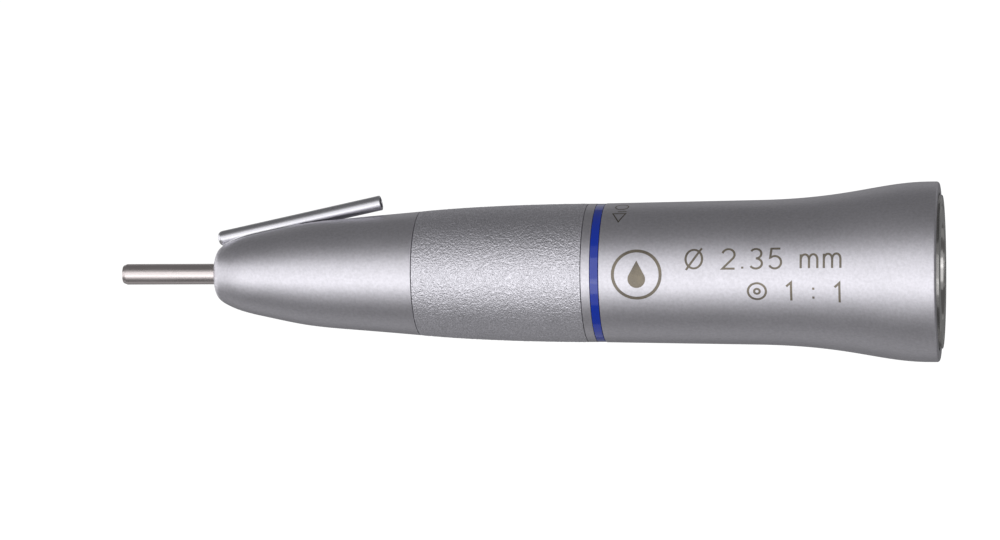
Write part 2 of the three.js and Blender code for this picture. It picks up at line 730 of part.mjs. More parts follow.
// ---------------------------------------------------------------- release
function camSleeve() {
  const body = ring(camFront, camRear, camSleeveBore, camSleeveRadius, SHELL_SIDES);
  const half = RELEASE_PIN_RADIUS + CUT;
  const low = camSleeveBore - CAM_SLEEVE_WALL / 2;
  const high = camSleeveRadius + CAM_SLEEVE_WALL / 2;
  const slots = releaseAngles.map((angle) =>
    sweptSlot(releaseX, -RELEASE_STROKE, half, low, high, angle, TWIST_ANGLE),
  );
  return cut(body, ...slots);
}

function thrustRing() {
  const body = ring(thrustFront, thrustRear, SPINDLE_RADIUS + THRUST_CLEARANCE, camBore - RUN);
  const low = SPINDLE_RADIUS + THRUST_CLEARANCE + RELEASE_PIN_RADIUS;
  const holes = releaseAngles.map((angle) =>
    radialPin(releaseX, low, camBore + OVERCUT, RELEASE_PIN_RADIUS + FIT, angle),
  );
  return cut(body, ...holes);
}

function releasePin(angle) {
  const low = SPINDLE_RADIUS + THRUST_CLEARANCE + RELEASE_PIN_RADIUS + FIT;
  return radialPin(releaseX, low, camSleeveRadius - FIT, RELEASE_PIN_RADIUS, angle);
}

// ---------------------------------------------------------------- bur
function burShank() {
  return turned([
    [burTip, 0],
    [burTip, SHANK_RADIUS - SHANK_CHAMFER],
    [burTip + SHANK_CHAMFER, SHANK_RADIUS],
    [burEnd - SHANK_CHAMFER, SHANK_RADIUS],
    [burEnd, SHANK_RADIUS - SHANK_CHAMFER],
    [burEnd, 0],
  ]);
}

// ---------------------------------------------------------------- finishes
const SATIN_STEEL = { color: 0xa9acb2, roughness: 0.4, metalness: 1 };
const BLASTED_STEEL = { color: 0x9ea1a7, roughness: 0.6, metalness: 1 };
const POLISHED_STEEL = { color: 0xc4c2c0, roughness: 0.15, metalness: 1 };
const BEARING_STEEL = { color: 0xb9bcc0, roughness: 0.2, metalness: 1 };
const SPRING_STEEL = { color: 0x8f9093, roughness: 0.35, metalness: 1 };
const BLUE_PLASTIC = { color: 0x0a2d8c, roughness: 0.25, metalness: 0 };
const CAGE_PLASTIC = { color: 0x5c4630, roughness: 0.6, metalness: 0 };
const SEAL_RUBBER = { color: 0x1c1c1e, roughness: 0.8, metalness: 0 };

// ---------------------------------------------------------------- the assembly
const handpiece = new THREE.Group();

function add(name, geometry, finish) {
  const mesh = new THREE.Mesh(geometry, new THREE.MeshStandardMaterial(finish));
  mesh.name = name;
  handpiece.add(mesh);
}

// A plain ring of hard steel between two places along the axis, with a small gap at each.
function addRing(name, front, rear, bore, radius) {
  add(name, ring(front + FIT, rear - FIT, bore, radius), POLISHED_STEEL);
}

add("nose_cone", noseCone(), SATIN_STEEL);
add("coolant_tube", coolantTube(), POLISHED_STEEL);
add("grip_sleeve", gripSleeve(), BLASTED_STEEL);
add("marker_collar", markerCollar(), SATIN_STEEL);
add("blue_ring", blueRing(), BLUE_PLASTIC);
add("inner_housing", innerHousing(), SATIN_STEEL);
add("coupling_sleeve", couplingSleeve(), POLISHED_STEEL);
add("stop_pin", stopPin(), POLISHED_STEEL);
add("front_seal", frontSeal(), SEAL_RUBBER);
add("nose_o_ring", noseORing(), SEAL_RUBBER);
add("sleeve_o_ring", sleeveORing(), SEAL_RUBBER);
add("preload_washer", preloadWasher(), SPRING_STEEL);

const bearings = { front_bearing_1: bearing1 + FIT, front_bearing_2: bearing2, rear_bearing: bearing3 };
for (const [name, front] of Object.entries(bearings)) {
  add(`${name}_outer_race`, outerRace(front), BEARING_STEEL);
  add(`${name}_inner_race`, innerRace(front), BEARING_STEEL);
  add(`${name}_ball_cage`, ballCage(front), CAGE_PLASTIC);
}

const bearing1Rear = bearing1 + FIT + BEARING_WIDTH;
const bearing2Rear = bearing2 + BEARING_WIDTH;
const bearing3Rear = bearing3 + BEARING_WIDTH;
addRing("outer_race_spacer", bearing1Rear, bearing2, outerRaceBore, bearingRadius);
addRing("front_bearing_nut", bearing2Rear, frontNut + NUT_LENGTH, outerRaceBore, bearingRadius);
addRing("rear_bearing_nut", bearing3Rear, lockNutRear, outerRaceBore, bearingRadius);
addRing("inner_race_spacer", bearing1Rear, bearing2, innerRaceBore, innerRaceRadius);
addRing("distance_tube", bearing2Rear, bearing3, innerRaceBore, innerRaceRadius - CAGE_HALF_WALL);
addRing("spindle_lock_nut", bearing3Rear, lockNutRear, innerRaceBore, innerRaceRadius);

add("spindle", spindle(), POLISHED_STEEL);
add("spring_seat", springSeat(), POLISHED_STEEL);
add("drive_dog", driveDog(), POLISHED_STEEL);

add("collet", collet(), POLISHED_STEEL);
add("draw_bar", drawBar(), POLISHED_STEEL);
add("draw_nut", drawNut(), POLISHED_STEEL);
add("cross_pin", crossPin(), POLISHED_STEEL);
add("chuck_spring", chuckSpring(), SPRING_STEEL);

add("twist_sleeve", twistSleeve(), SATIN_STEEL);
add("cam_sleeve", camSleeve(), POLISHED_STEEL);
add("thrust_ring", thrustRing(), POLISHED_STEEL);
releaseAngles.forEach((angle, i) => add(`release_pin_${i + 1}`, releasePin(angle), POLISHED_STEEL));

add("bur_shank", burShank(), POLISHED_STEEL);

export default handpiece;
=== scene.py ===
import json
import math
from typing import NamedTuple

import bmesh
import bpy
import numpy as np
from bpy.props import FloatProperty, FloatVectorProperty, IntProperty, PointerProperty
from mathutils import Matrix, Vector, noise


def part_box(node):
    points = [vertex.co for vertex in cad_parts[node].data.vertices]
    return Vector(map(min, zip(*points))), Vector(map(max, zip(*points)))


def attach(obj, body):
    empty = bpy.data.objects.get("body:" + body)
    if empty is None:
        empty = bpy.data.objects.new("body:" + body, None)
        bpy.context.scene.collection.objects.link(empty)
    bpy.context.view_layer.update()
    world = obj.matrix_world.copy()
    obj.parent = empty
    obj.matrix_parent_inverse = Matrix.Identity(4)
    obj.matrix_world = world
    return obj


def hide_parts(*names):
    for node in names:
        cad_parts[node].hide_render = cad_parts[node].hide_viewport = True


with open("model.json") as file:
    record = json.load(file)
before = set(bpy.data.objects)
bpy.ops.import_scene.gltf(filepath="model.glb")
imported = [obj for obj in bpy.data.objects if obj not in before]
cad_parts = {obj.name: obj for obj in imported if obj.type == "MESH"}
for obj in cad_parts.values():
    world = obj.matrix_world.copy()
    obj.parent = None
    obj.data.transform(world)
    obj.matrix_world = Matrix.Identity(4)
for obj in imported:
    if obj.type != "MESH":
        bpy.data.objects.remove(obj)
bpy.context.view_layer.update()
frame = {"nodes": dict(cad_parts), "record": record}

bl_info = {
    "name": "Straight surgical handpiece",
    "version": (1, 0, 0),
    "blender": (4, 5, 0),
    "location": "View3D > Sidebar > Handpiece",
    "description": "Shells, coolant tube, marks, finishes and studio of a straight surgical handpiece",
    "category": "Add Mesh",
}

# Lengths in the outlines below are in millimetres, as [place along the axis, radius].
MM = 0.001


def ends(node):
    """Front and rear of a CAD node along the axis, in millimetres."""
    low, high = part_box(node)
    return low.x / MM, high.x / MM


def width(node):
    """Largest radius of a turned CAD node, in millimetres."""
    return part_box(node)[1].y / MM


NOSE_FRONT, NOSE_REAR = ends("nose_cone")
GRIP_FRONT, GRIP_REAR = ends("grip_sleeve")
RING_FRONT, RING_REAR = ends("blue_ring")
SLEEVE_FRONT, SLEEVE_REAR = ends("twist_sleeve")
CAM_REAR = ends("cam_sleeve")[1]
COUPLING_FRONT, SEAT = ends("coupling_sleeve")
DOG_FRONT, DOG_REAR = ends("drive_dog")
PIN_TIP, PIN_END = ends("bur_shank")

PIN_RADIUS = width("bur_shank")
NOSE_REAR_RADIUS = width("nose_cone")
GRIP_RADIUS = width("grip_sleeve")
SLEEVE_RADIUS = width("twist_sleeve")
CAM_RADIUS = width("cam_sleeve")
SEAT_RADIUS = width("coupling_sleeve")
DOG_RADIUS = width("drive_dog")
HOUSING_RADIUS = width("inner_housing")

GRIP_FRONT_RADIUS = 7.0
GRIP_SIDES = 460
SEAM = 0.06
FIT = 0.05
MOUTH_RADIUS = PIN_RADIUS + 0.15
MOUTH_FRONT = NOSE_FRONT + 0.32
NOSE_THREAD_LENGTH = 7.8
NOSE_THREAD_RADIUS = 5.65
BEARING_RADIUS = 4.05
BEARING_FRONT = NOSE_FRONT + 6.2
PASSAGE_RADIUS = 3.05
SEAL_RADIUS = 2.555
SEAL_FRONT = NOSE_FRONT + 1.4
SEAL_REAR = NOSE_FRONT + 2.6
SOCKET_RADIUS = 5.0
SOCKET_DEPTH = 30.5
SOCKET_OUTSIDE = 6.3
SOCKET_FLOOR = 1.0
SLEEVE_BORE = 6.42
SLEEVE_FRONT_RADIUS = GRIP_RADIUS + 0.03
WAIST_RADIUS = SLEEVE_FRONT_RADIUS + 0.265
FLARE_END = SLEEVE_REAR - 0.97
WAIST = FLARE_END - 19.2
SEAT_GAP = 0.23
SEAT_LENGTH = 3.5
SEAT_CONE_END = 7.5
STOP_SETBACK = 12.0

TUBE_RADIUS = 0.85
TUBE_BORE = 0.6
TUBE_LENGTH = 18.95
TUBE_ANGLE = math.radians(12.12)
TUBE_FRONT = NOSE_FRONT + 0.94
TUBE_HEIGHT = 4.041
BRAZE_END = 9.2
BRAZE_ON_NOSE = 0.16
BRAZE_ON_TUBE = 0.15
BED_GAP = 0.22
HOSE_RADIUS = 1.35
HOSE_LENGTH = 5.6


# ---------------------------------------------------------------- settings
def length(name, description, default, least=0.0):
    """A length that a user can change."""
    return FloatProperty(
        name=name, description=description, default=default, min=least, unit="LENGTH", precision=6
    )


def angle(name, description, default):
    """An angle that a user can change."""
    return FloatProperty(name=name, description=description, default=default, subtype="ANGLE")


def brightness(name, description, default):
    """A brightness that a user can change."""
    return FloatProperty(name=name, description=description, default=default, min=0.0)


def colour(name, description, default):
    """A colour that a user can change."""
    return FloatVectorProperty(
        name=name, description=description, default=default, subtype="COLOR", size=3, min=0.0, max=1.0
    )


class HandpieceShape(bpy.types.PropertyGroup):
    """Fineness and small rounds of the turned pieces."""

    sides: IntProperty(
        name="Sides", description="Facets round a turned piece", default=240, min=48, max=720
    )
    edge: length("Edge round", "Radius of a broken edge", 0.06 * MM)
    grain: length("Blast depth", "Height of the blasted grain on the grip", 0.034 * MM)
    grain_size: length("Blast size", "Width of the blasted grain on the grip", 0.2 * MM, 0.05 * MM)
    mark: length("Mark height", "How far the laser marks stand proud of the sleeve", 0.006 * MM)


class HandpieceFinish(bpy.types.PropertyGroup):
    """Colours of the finishes."""

    satin: colour("Satin steel", "Nose cone, collar and twist sleeve", (0.625, 0.612, 0.66))
    blasted: colour("Blasted steel", "Grip sleeve", (0.63, 0.62, 0.67))
    polished: colour("Polished steel", "Coupling and inner pieces", (0.46, 0.45, 0.44))
    tube: colour("Tube steel", "Coolant tube", (0.66, 0.655, 0.695))
    shank: colour("Shank steel", "Ground shank", (0.69, 0.63, 0.63))
    braze: colour("Braze", "Fillet that holds the coolant tube", (0.62, 0.62, 0.64))
    ring: colour("Ring", "Marker ring", (0.0, 0.026, 0.36))
    mark: colour("Laser mark", "Dark oxide of the laser marks", (0.15, 0.134, 0.115))
    cage: colour("Cage", "Ball cages", (0.32, 0.22, 0.12))
    rubber: colour("Rubber", "Seals", (0.035, 0.035, 0.037))
    floor: colour("Floor", "Floor of the studio", (0.93, 0.93, 0.94))


class HandpieceStage(bpy.types.PropertyGroup):
    """Camera and light of the studio."""

    lens: FloatProperty(
        name="Lens", description="Focal length", default=137.5, min=1.0, subtype="DISTANCE_CAMERA"
    )
    distance: length("Distance", "Camera to axis", 0.4307, 0.05)
    azimuth: angle("Azimuth", "Turn of the camera towards the motor end", math.radians(9.28))
    roll: angle("Roll", "Roll of the camera", math.radians(0.19))
    key: brightness("Key light", "Brightness of the long front light", 1.45)
    fill: brightness("Fill lights", "Brightness of the broad fill lights", 1.0)
    side: brightness("Side lights", "Brightness of the lights beyond the nose", 0.9)
    surround: brightness("Surround", "Brightness of the room round the piece", 0.172)
    floor_drop: length("Floor drop", "Height of the axis above the floor", 0.06, 0.011)


# ---------------------------------------------------------------- outlines
def rounded(corners, steps=5):
    """Points of an outline from corners [x, r] or [x, r, round], each rounded to its radius, with a
    point just outside every round, which keeps the shading of the flat beside it even."""
    count, made = len(corners), []
    for i, corner in enumerate(corners):
        here = Vector(corner[:2])
        size = corner[2] if len(corner) > 2 else 0.0
        before = Vector(corners[i - 1][:2]) - here
        after = Vector(corners[(i + 1) % count][:2]) - here
        if size <= 0 or before.length < 1e-9 or after.length < 1e-9:
            made.append(tuple(here))
            continue
        half = before.angle(after) / 2
        reach = min(size / math.tan(half), 0.42 * before.length, 0.42 * after.length)
        size = reach * math.tan(half)
        before.normalize()
        after.normalize()
        centre = here + (before + after).normalized() * (size / math.sin(half))
        first, last = here + before * reach - centre, here + after * reach - centre
        turn = first.angle_signed(last)
        made.append(tuple(here + before * reach * 1.15))
        for step in range(steps + 1):
            made.append(tuple(centre + Matrix.Rotation(-turn * step / steps, 2) @ first))
        made.append(tuple(here + after * reach * 1.15))
    return made


def spline(stations, first_slope, last_slope, spacing):
    """Points of one smooth curve through the stations, with its slope in degrees at each end."""
    knots = np.array(stations, float)
    steps = np.linalg.norm(np.diff(knots, axis=0), axis=1)
    place = np.concatenate([[0.0], np.cumsum(steps)])
    slopes = [
        (math.cos(math.radians(s)), math.sin(math.radians(s))) for s in (first_slope, last_slope)
    ]
    size = len(knots)
    system, known = np.zeros((size, size)), np.zeros((size, 2))
    system[0, 0] = system[-1, -1] = 1.0
    known[0], known[-1] = slopes
    for i in range(1, size - 1):
        h0, h1 = steps[i - 1], steps[i]
        system[i, i - 1 : i + 2] = h1, 2 * (h0 + h1), h0
        known[i] = 3 * (h1 * (knots[i] - knots[i - 1]) / h0 + h0 * (knots[i + 1] - knots[i]) / h1)
    tangents = np.linalg.solve(system, known)
    made = []
    for i in range(size - 1):
        h, count = steps[i], max(2, int(round(steps[i] / spacing)))
        for t in np.arange(count) / count:
            made.append(
                (2 * t**3 - 3 * t**2 + 1) * knots[i]
                + (t**3 - 2 * t**2 + t) * h * tangents[i]
                + (3 * t**2 - 2 * t**3) * knots[i + 1]
                + (t**3 - t**2) * h * tangents[i + 1]
            )
    made.append(knots[-1])
    return [tuple(p) for p in made]


def bezier(start, start_slope, end, end_slope, handles, count):
    """Points of a curve whose ends have slopes in degrees that carry over shares of its length."""
    length = end[0] - start[0]
    a, b = math.radians(start_slope), math.radians(end_slope)
    p = [
        np.array(start),
        np.array(start) + handles[0] * length * np.array([math.cos(a), math.sin(a)]),
        np.array(end) - handles[1] * length * np.array([math.cos(b), math.sin(b)]),
        np.array(end),
    ]
    t = np.linspace(0, 1, count)[:, None]
    curve = (1 - t) ** 3 * p[0] + 3 * (1 - t) ** 2 * t * p[1] + 3 * (1 - t) * t**2 * p[2] + t**3 * p[3]
    return [tuple(q) for q in curve]


def nose_curve(spacing=0.16):
    """The nose cone's outside, from its mouth over the blunt dome to the grip."""
    return spline(
        [
            (MOUTH_FRONT, MOUTH_RADIUS),
            (NOSE_FRONT + 0.38, MOUTH_RADIUS + 0.54),
            (NOSE_FRONT + 0.69, 2.775),
            (NOSE_FRONT + 1.54, 3.45),
            (NOSE_FRONT + 6.20, 4.90),
            (NOSE_FRONT + 10.70, 5.79),
            (NOSE_FRONT + 16.27, 6.36),
            (NOSE_REAR, NOSE_REAR_RADIUS),
        ],
        84.0,
        5.0,
        spacing,
    )


def grip_curve(count):
    """The grip sleeve's outside."""
    return bezier(
        (GRIP_FRONT, GRIP_FRONT_RADIUS), 5.4, (GRIP_REAR, GRIP_RADIUS), 0.0, (0.37, 0.16), count
    )


def sleeve_curve():
    """The twist sleeve's outside, from its front to the start of its rear round."""
    reach, rise = WAIST - SLEEVE_FRONT, WAIST_RADIUS - SLEEVE_FRONT_RADIUS
    straight = [
        (SLEEVE_FRONT + reach * t, SLEEVE_FRONT_RADIUS + rise * t) for t in np.arange(0, 1, 0.05)
    ]
    flare = bezier((WAIST, WAIST_RADIUS), 0.85, (FLARE_END, SLEEVE_RADIUS), 0.0, (0.55, 0.3), 80)
    return straight + flare


def radius_at(curve, x):
    """Radius of an outside curve at a place along the axis."""
    places = np.array(curve)
    return float(np.interp(x, places[:, 0], places[:, 1]))


# ---------------------------------------------------------------- meshes
def piece(name, mesh, body, slot, *nodes, look=None):
    """A shown piece: it rides on a body, stands for CAD nodes and takes its finish from a slot, or
    from a look of its own."""
    mesh.name = name
    made = bpy.data.objects.new(name, mesh)
    bpy.context.scene.collection.objects.link(made)
    mesh.materials.clear()
    mesh.materials.append(finish(look or slot))
    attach(made, body)
    if nodes:
        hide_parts(*nodes)


def settled(bm, sharp=38.0):
    """The mesh of a finished bmesh, smooth except over sharp edges."""
    bmesh.ops.remove_doubles(bm, verts=bm.verts, dist=1e-7)
    bmesh.ops.recalc_face_normals(bm, faces=bm.faces)
    for face in bm.faces:
        face.smooth = True
    mesh = bpy.data.meshes.new("settled")
    bm.to_mesh(mesh)
    bm.free()
    mesh.set_sharp_from_angle(angle=math.radians(sharp))
    return mesh


def bridge(bm, first, second):
    """Faces between two closed rings of points; a ring all of one point closes to it."""
    for i in range(len(first)):
        k = (i + 1) % len(first)
        corners = list(dict.fromkeys((first[i], first[k], second[k], second[i])))
        if len(corners) > 2:
            bm.faces.new(corners)


def turned(outline, sides):
    """The mesh of a closed outline, or of one that starts and ends on the axis, turned about X."""
    bm = bmesh.new()
    turns = [(math.sin(math.tau * i / sides), math.cos(math.tau * i / sides)) for i in range(sides)]
    rings = []
    for x, r in outline:
        if r > 0:
            rings.append([bm.verts.new((x * MM, r * MM * a, r * MM * b)) for a, b in turns])
        else:
            rings.append([bm.verts.new((x * MM, 0, 0))] * sides)
    for first, second in zip(rings, rings[1:]):
        bridge(bm, first, second)
    if outline[0][1] > 0:
        bridge(bm, rings[-1], rings[0])
    return settled(bm)


def moved(mesh, matrix):
    """The mesh after a move."""
    mesh.transform(matrix)
    return mesh


def cut(mesh, cutters):
    """The mesh with the cutters' room taken out of it."""
    scene = bpy.context.scene
    block = bpy.data.objects.new("workpiece", mesh)
    scene.collection.objects.link(block)
    tools = []
    for cutter in cutters:
        tool = bpy.data.objects.new("cutter", cutter)
        scene.collection.objects.link(tool)
        tools.append(tool)
        modifier = block.modifiers.new("cut", "BOOLEAN")
        modifier.operation = "DIFFERENCE"
        modifier.solver = "EXACT"
        modifier.object = tool
    bpy.context.view_layer.update()
    graph = bpy.context.evaluated_depsgraph_get()
    result = bpy.data.meshes.new_from_object(block.evaluated_get(graph))
    for used in (block, *tools):
        old = used.data
        bpy.data.objects.remove(used)
        bpy.data.meshes.remove(old)
    if not result.polygons:
        raise RuntimeError("a cut left nothing of its piece")
    result.set_sharp_from_angle(angle=math.radians(30.0))
    return result


def on_tube_line():
    """From a shape made along X at the origin to the coolant tube's line."""
    place = Matrix.Translation((TUBE_FRONT * MM, 0, TUBE_HEIGHT * MM))
    return place @ Matrix.Rotation(-TUBE_ANGLE, 4, "Y")


# ---------------------------------------------------------------- shared shader effects
def put(tree, kind, inputs=None, **settings):
    """A new node with its settings, and its inputs set or linked."""
    node = tree.nodes.new(kind)
    for key, value in settings.items():
        setattr(node, key, value)
    for key, value in (inputs or {}).items():
        if isinstance(value, bpy.types.NodeSocket):
            tree.links.new(value, node.inputs[key])
        else:
            node.inputs[key].default_value = value
    return node


def ramp(tree, value, low, high, at_low=0.0, at_high=1.0):
    """A value carried from one range to another."""
    given = {0: value, 1: low, 2: high, 3: at_low, 4: at_high}
    return put(tree, "ShaderNodeMapRange", given).outputs[0]


def times(tree, first, second):
    """The product of two values."""
    return put(tree, "ShaderNodeMath", {0: first, 1: second}, operation="MULTIPLY").outputs[0]


def plus(tree, first, second):
    """The sum of two values."""
    return put(tree, "ShaderNodeMath", {0: first, 1: second}, operation="ADD").outputs[0]


def millimetres(tree):
    """Place on the piece in millimetres."""
    place = put(tree, "ShaderNodeTexCoord").outputs["Object"]
    return put(tree, "ShaderNodeVectorMath", {0: place, "Scale": 1 / MM}, operation="SCALE").outputs[0]


def cells(tree, size):
    """Place on the piece, in cells of a size in millimetres."""
    given = {0: millimetres(tree), 1: size}
    return put(tree, "ShaderNodeVectorMath", given, operation="DIVIDE").outputs[0]


def cloud(tree, where, scale=1.0, **inputs):
    """Soft noise over the surface."""
    given = {"Vector": where, "Scale": scale, **inputs}
    return put(tree, "ShaderNodeTexNoise", given).outputs[0]


def effect(name, inputs, build):
    """A shader node group with named inputs and outputs, made once."""
    group = bpy.data.node_groups.get(name)
    if group:
        return group
    group = bpy.data.node_groups.new(name, "ShaderNodeTree")
    for label, default in inputs.items():
        socket = group.interface.new_socket(label, in_out="INPUT", socket_type="NodeSocketFloat")
        socket.default_value = default
    made = build(group, group.nodes.new("NodeGroupInput").outputs)
    for label in made:
        group.interface.new_socket(label, in_out="OUTPUT", socket_type="NodeSocketFloat")
    end = group.nodes.new("NodeGroupOutput")
    for label, socket in made.items():
        group.links.new(socket, end.inputs[label])
    return group


def grain_effect():
    """Fine grain of a blasted or brushed surface, longer along the axis where Length is over 1."""

    def build(tree, given):
        along = times(tree, given["Size"], given["Length"])
        cell = put(tree, "ShaderNodeCombineXYZ", {0: along, 1: given["Size"], 2: given["Size"]})
        fine = cloud(tree, cells(tree, cell.outputs[0]), Detail=2.5, Roughness=0.6)
        return {"Height": fine, "Shade": ramp(tree, fine, 0.3, 0.7)}

    return effect("Grain", {"Size": 0.1, "Length": 1.0}, build)


def blast_effect():
    """Pits and crests of coarse bead blasting: their height, and a mask from it for the grain's tone, partly
    painted shade in the pits and painted highlight on the crests.
    """

    def build(tree, given):
        where = cells(tree, given["Size"])
        settings = {"Vector": where, "Scale": 1.0, "Smoothness": 0.6}
        pits = put(tree, "ShaderNodeTexVoronoi", settings, feature="SMOOTH_F1")
        crests = cloud(tree, where, 1.7, Detail=2.0, Roughness=0.55)
        both = plus(tree, crests, pits.outputs["Distance"])
        return {"Height": both, "Crest": ramp(tree, both, 0.55, 1.25)}

    return effect("Blasting", {"Size": 0.2}, build)


def turning_effect():
    """Fine rings that a turning tool or a polishing cloth leaves round the axis."""

    def build(tree, given):
        axis = put(tree, "ShaderNodeSeparateXYZ", {0: millimetres(tree)}).outputs[0]
        place = put(tree, "ShaderNodeMath", {0: axis, 1: given["Pitch"]}, operation="DIVIDE").outputs[0]
        settings = {"W": place, "Scale": 1.0, "Detail": 3.0, "Roughness": 0.7}
        rings = put(tree, "ShaderNodeTexNoise", settings, noise_dimensions="1D")
        return {"Height": rings.outputs[0]}

    return effect("Turning rings", {"Pitch": 0.08}, build)


def smudge_effect():
    """Broad soft patches left by handling and wiping."""

    def build(tree, given):
        soft = cloud(tree, cells(tree, given["Size"]), Detail=4.0, Roughness=0.62, Distortion=0.4)
        return {"Patch": ramp(tree, soft, 0.35, 0.68)}

    return effect("Smudges", {"Size": 6.0}, build)


def wear_and_corner_shade_effect():
    """Brightened worn edges, broken up by grain, and painted shade in concave corners."""

    def build(tree, given):
        shape = put(tree, "ShaderNodeNewGeometry").outputs["Pointiness"]
        chips = cloud(tree, cells(tree, given["Size"]), Detail=3.0)
        edge = ramp(tree, shape, 0.52, 0.62)
        # The edge mask is real wear; the corner mask paints shade into concave corners and recesses.
        return {"Edge": times(tree, edge, chips), "Corner": ramp(tree, shape, 0.48, 0.40)}

    return effect("Edge wear", {"Size": 0.6}, build)


def shared(tree, group, **values):
    """A shared effect placed in a material with its own values."""
    node = tree.nodes.new("ShaderNodeGroup")
    node.node_tree = group
    for label, value in values.items():
        node.inputs[label].default_value = value
    return node.outputs


def blend(tree, first, second, share):
    """A mix of two colours."""
    node = put(tree, "ShaderNodeMix", data_type="RGBA")
    for socket, value in ((node.inputs[0], share), (node.inputs[6], first), (node.inputs[7], second)):
        if isinstance(value, bpy.types.NodeSocket):
            tree.links.new(value, socket)
        else:
            socket.default_value = value
    return node.outputs[2]


def shade(tint, factor):
    """A colour made lighter or darker, with full opacity."""
    return (*(min(1.0, c * factor) for c in tint), 1.0)


# ---------------------------------------------------------------- finishes
# The frame's own plain materials are named by slot, so a finish has an ending of its own.
FINISH = "_finish"


def blank_material(name, metallic=0.0):
    """A new material with only its Principled shader and output."""
    material = bpy.data.materials.new(name + FINISH)
    material.use_nodes = True
    shader = material.node_tree.nodes["Principled BSDF"]
    shader.inputs["Metallic"].default_value = metallic
    return material, material.node_tree, shader


def surface(tree, shader, base, rough, layers):
    """Links colour and roughness, and bumps from layers of (height, depth in mm), one over the other."""
    tree.links.new(base, shader.inputs["Base Color"])
    tree.links.new(rough, shader.inputs["Roughness"])
    normal = None
    for height, depth in layers:
        given = {"Height": height, "Distance": depth * MM, "Strength": 1.0}
        if normal is not None:
            given["Normal"] = normal
        normal = put(tree, "ShaderNodeBump", given).outputs[0]
    tree.links.new(normal, shader.inputs["Normal"])


class Metal(NamedTuple):
    """A bare metal, with its lengths in millimetres."""

    tint: str
    rough: float
    spread: float
    grain: float
    stretch: float
    depth: float
    contrast: float
    pitch: float
    ring_depth: float
    wear: float
    strength: float = 1.0


METALS = {
    # Blasted with small beads, then lightly brushed.
    "satin_steel": Metal("satin", 0.43, 0.02, 0.3, 1.1, 0.008, 0.08, 0.06, 0.0004, 0.5),
    # Ground and polished, with faint turning rings.
    "polished_steel": Metal("polished", 0.16, 0.04, 0.05, 1.0, 0.0002, 0.02, 0.05, 0.0006, 0.4),
    # Drawn and polished, with faint lines along it.
    "tube_steel": Metal("tube", 0.3, 0.03, 0.03, 12.0, 0.0005, 0.03, 0.4, 0.0002, 0.4),
    # Centreless ground, a little warmer than the body.
    "shank_steel": Metal("shank", 0.29, 0.04, 0.05, 0.6, 0.0004, 0.04, 0.03, 0.0005, 0.4),
    # Ground bearing races.
    "bearing_steel": Metal("polished", 0.14, 0.03, 0.04, 1.0, 0.0002, 0.02, 0.04, 0.0004, 0.3),
    # Drawn wire, darker.
    "spring_steel": Metal("polished", 0.3, 0.05, 0.05, 1.0, 0.0008, 0.06, 0.1, 0.0, 0.3, 0.75),
    # Silver braze, dressed and slightly uneven.
    "braze_metal": Metal("braze", 0.34, 0.06, 0.16, 2.2, 0.008, 0.08, 0.2, 0.0, 0.3),
}


def metal(name, kind, tint):
    """Bare metal: grain, rings left by turning, smudges, worn edges and painted shade in concave corners."""
    material, tree, shader = blank_material(name, 1.0)
    tint = shade(tint, kind.strength)[:3]
    fine = shared(tree, grain_effect(), Size=kind.grain, Length=kind.stretch)
    rings = shared(tree, turning_effect(), Pitch=kind.pitch)
    patch = shared(tree, smudge_effect(), Size=5.5)["Patch"]
    edges = shared(tree, wear_and_corner_shade_effect(), Size=0.5)
    base = blend(tree, shade(tint, 1 - kind.contrast), shade(tint, 1 + kind.contrast), fine["Shade"])
    base = blend(tree, base, shade(tint, 0.93), times(tree, patch, 0.16))
    base = blend(tree, base, shade(tint, 1.25), times(tree, edges["Edge"], kind.wear))
    # Painted shade: concave corners darkened towards a third of the tint.
    base = blend(tree, base, shade(tint, 0.35), times(tree, edges["Corner"], 0.6))
    uneven = ramp(tree, patch, 0.0, 1.0, kind.rough - kind.spread, kind.rough + kind.spread)
    rough = plus(tree, uneven, times(tree, edges["Edge"], -0.3 * kind.rough))
    layers = [(fine["Height"], kind.depth), (rings["Height"], kind.ring_depth)]
    surface(tree, shader, base, rough, layers)
    return material


def blasted_steel(tint):
    """Coarse bead-blasted grip, whose large grain is in the mesh and fine grain in the bump."""
    material, tree, shader = blank_material("blasted_steel", 1.0)
    blast = shared(tree, blast_effect(), Size=0.17)
    fine = shared(tree, grain_effect(), Size=0.16, Length=1.0)
    patch = shared(tree, smudge_effect(), Size=4.0)["Patch"]
    edges = shared(tree, wear_and_corner_shade_effect(), Size=0.3)
    # Partly the grain's own varied tone, partly painted shade in the pits and painted highlight on the
    # crests.
    base = blend(tree, shade(tint, 0.6), shade(tint, 1.38), blast["Crest"])
    base = blend(tree, base, shade(tint, 0.94), fine["Shade"])
    base = blend(tree, base, shade(tint, 1.2), times(tree, edges["Edge"], 0.4))
    rough = ramp(tree, patch, 0.0, 1.0, 0.43, 0.48)
    surface(tree, shader, base, rough, [(blast["Height"], 0.04), (fine["Height"], 0.005)])
    return material


def ring_plastic(tint):
    """Glossy coloured ring with a thin clear skin and a lighter worn edge."""
    material, tree, shader = blank_material("blue_ring_plastic")
    fine = shared(tree, grain_effect(), Size=0.09, Length=1.0)
    patch = shared(tree, smudge_effect(), Size=3.0)["Patch"]
    edges = shared(tree, wear_and_corner_shade_effect(), Size=0.3)
    base = blend(tree, shade(tint, 0.9), shade(tint, 1.12), fine["Shade"])
    base = blend(tree, base, (0.22, 0.27, 0.55, 1.0), times(tree, edges["Edge"], 0.35))
    shader.inputs["Specular IOR Level"].default_value = 0.35
    shader.inputs["Coat Weight"].default_value = 1.0
    shader.inputs["Coat IOR"].default_value = 1.5
    shader.inputs["Coat Roughness"].default_value = 0.04
    surface(tree, shader, base, ramp(tree, patch, 0.0, 1.0, 0.11, 0.16), [(fine["Height"], 0.0012)])
    return material


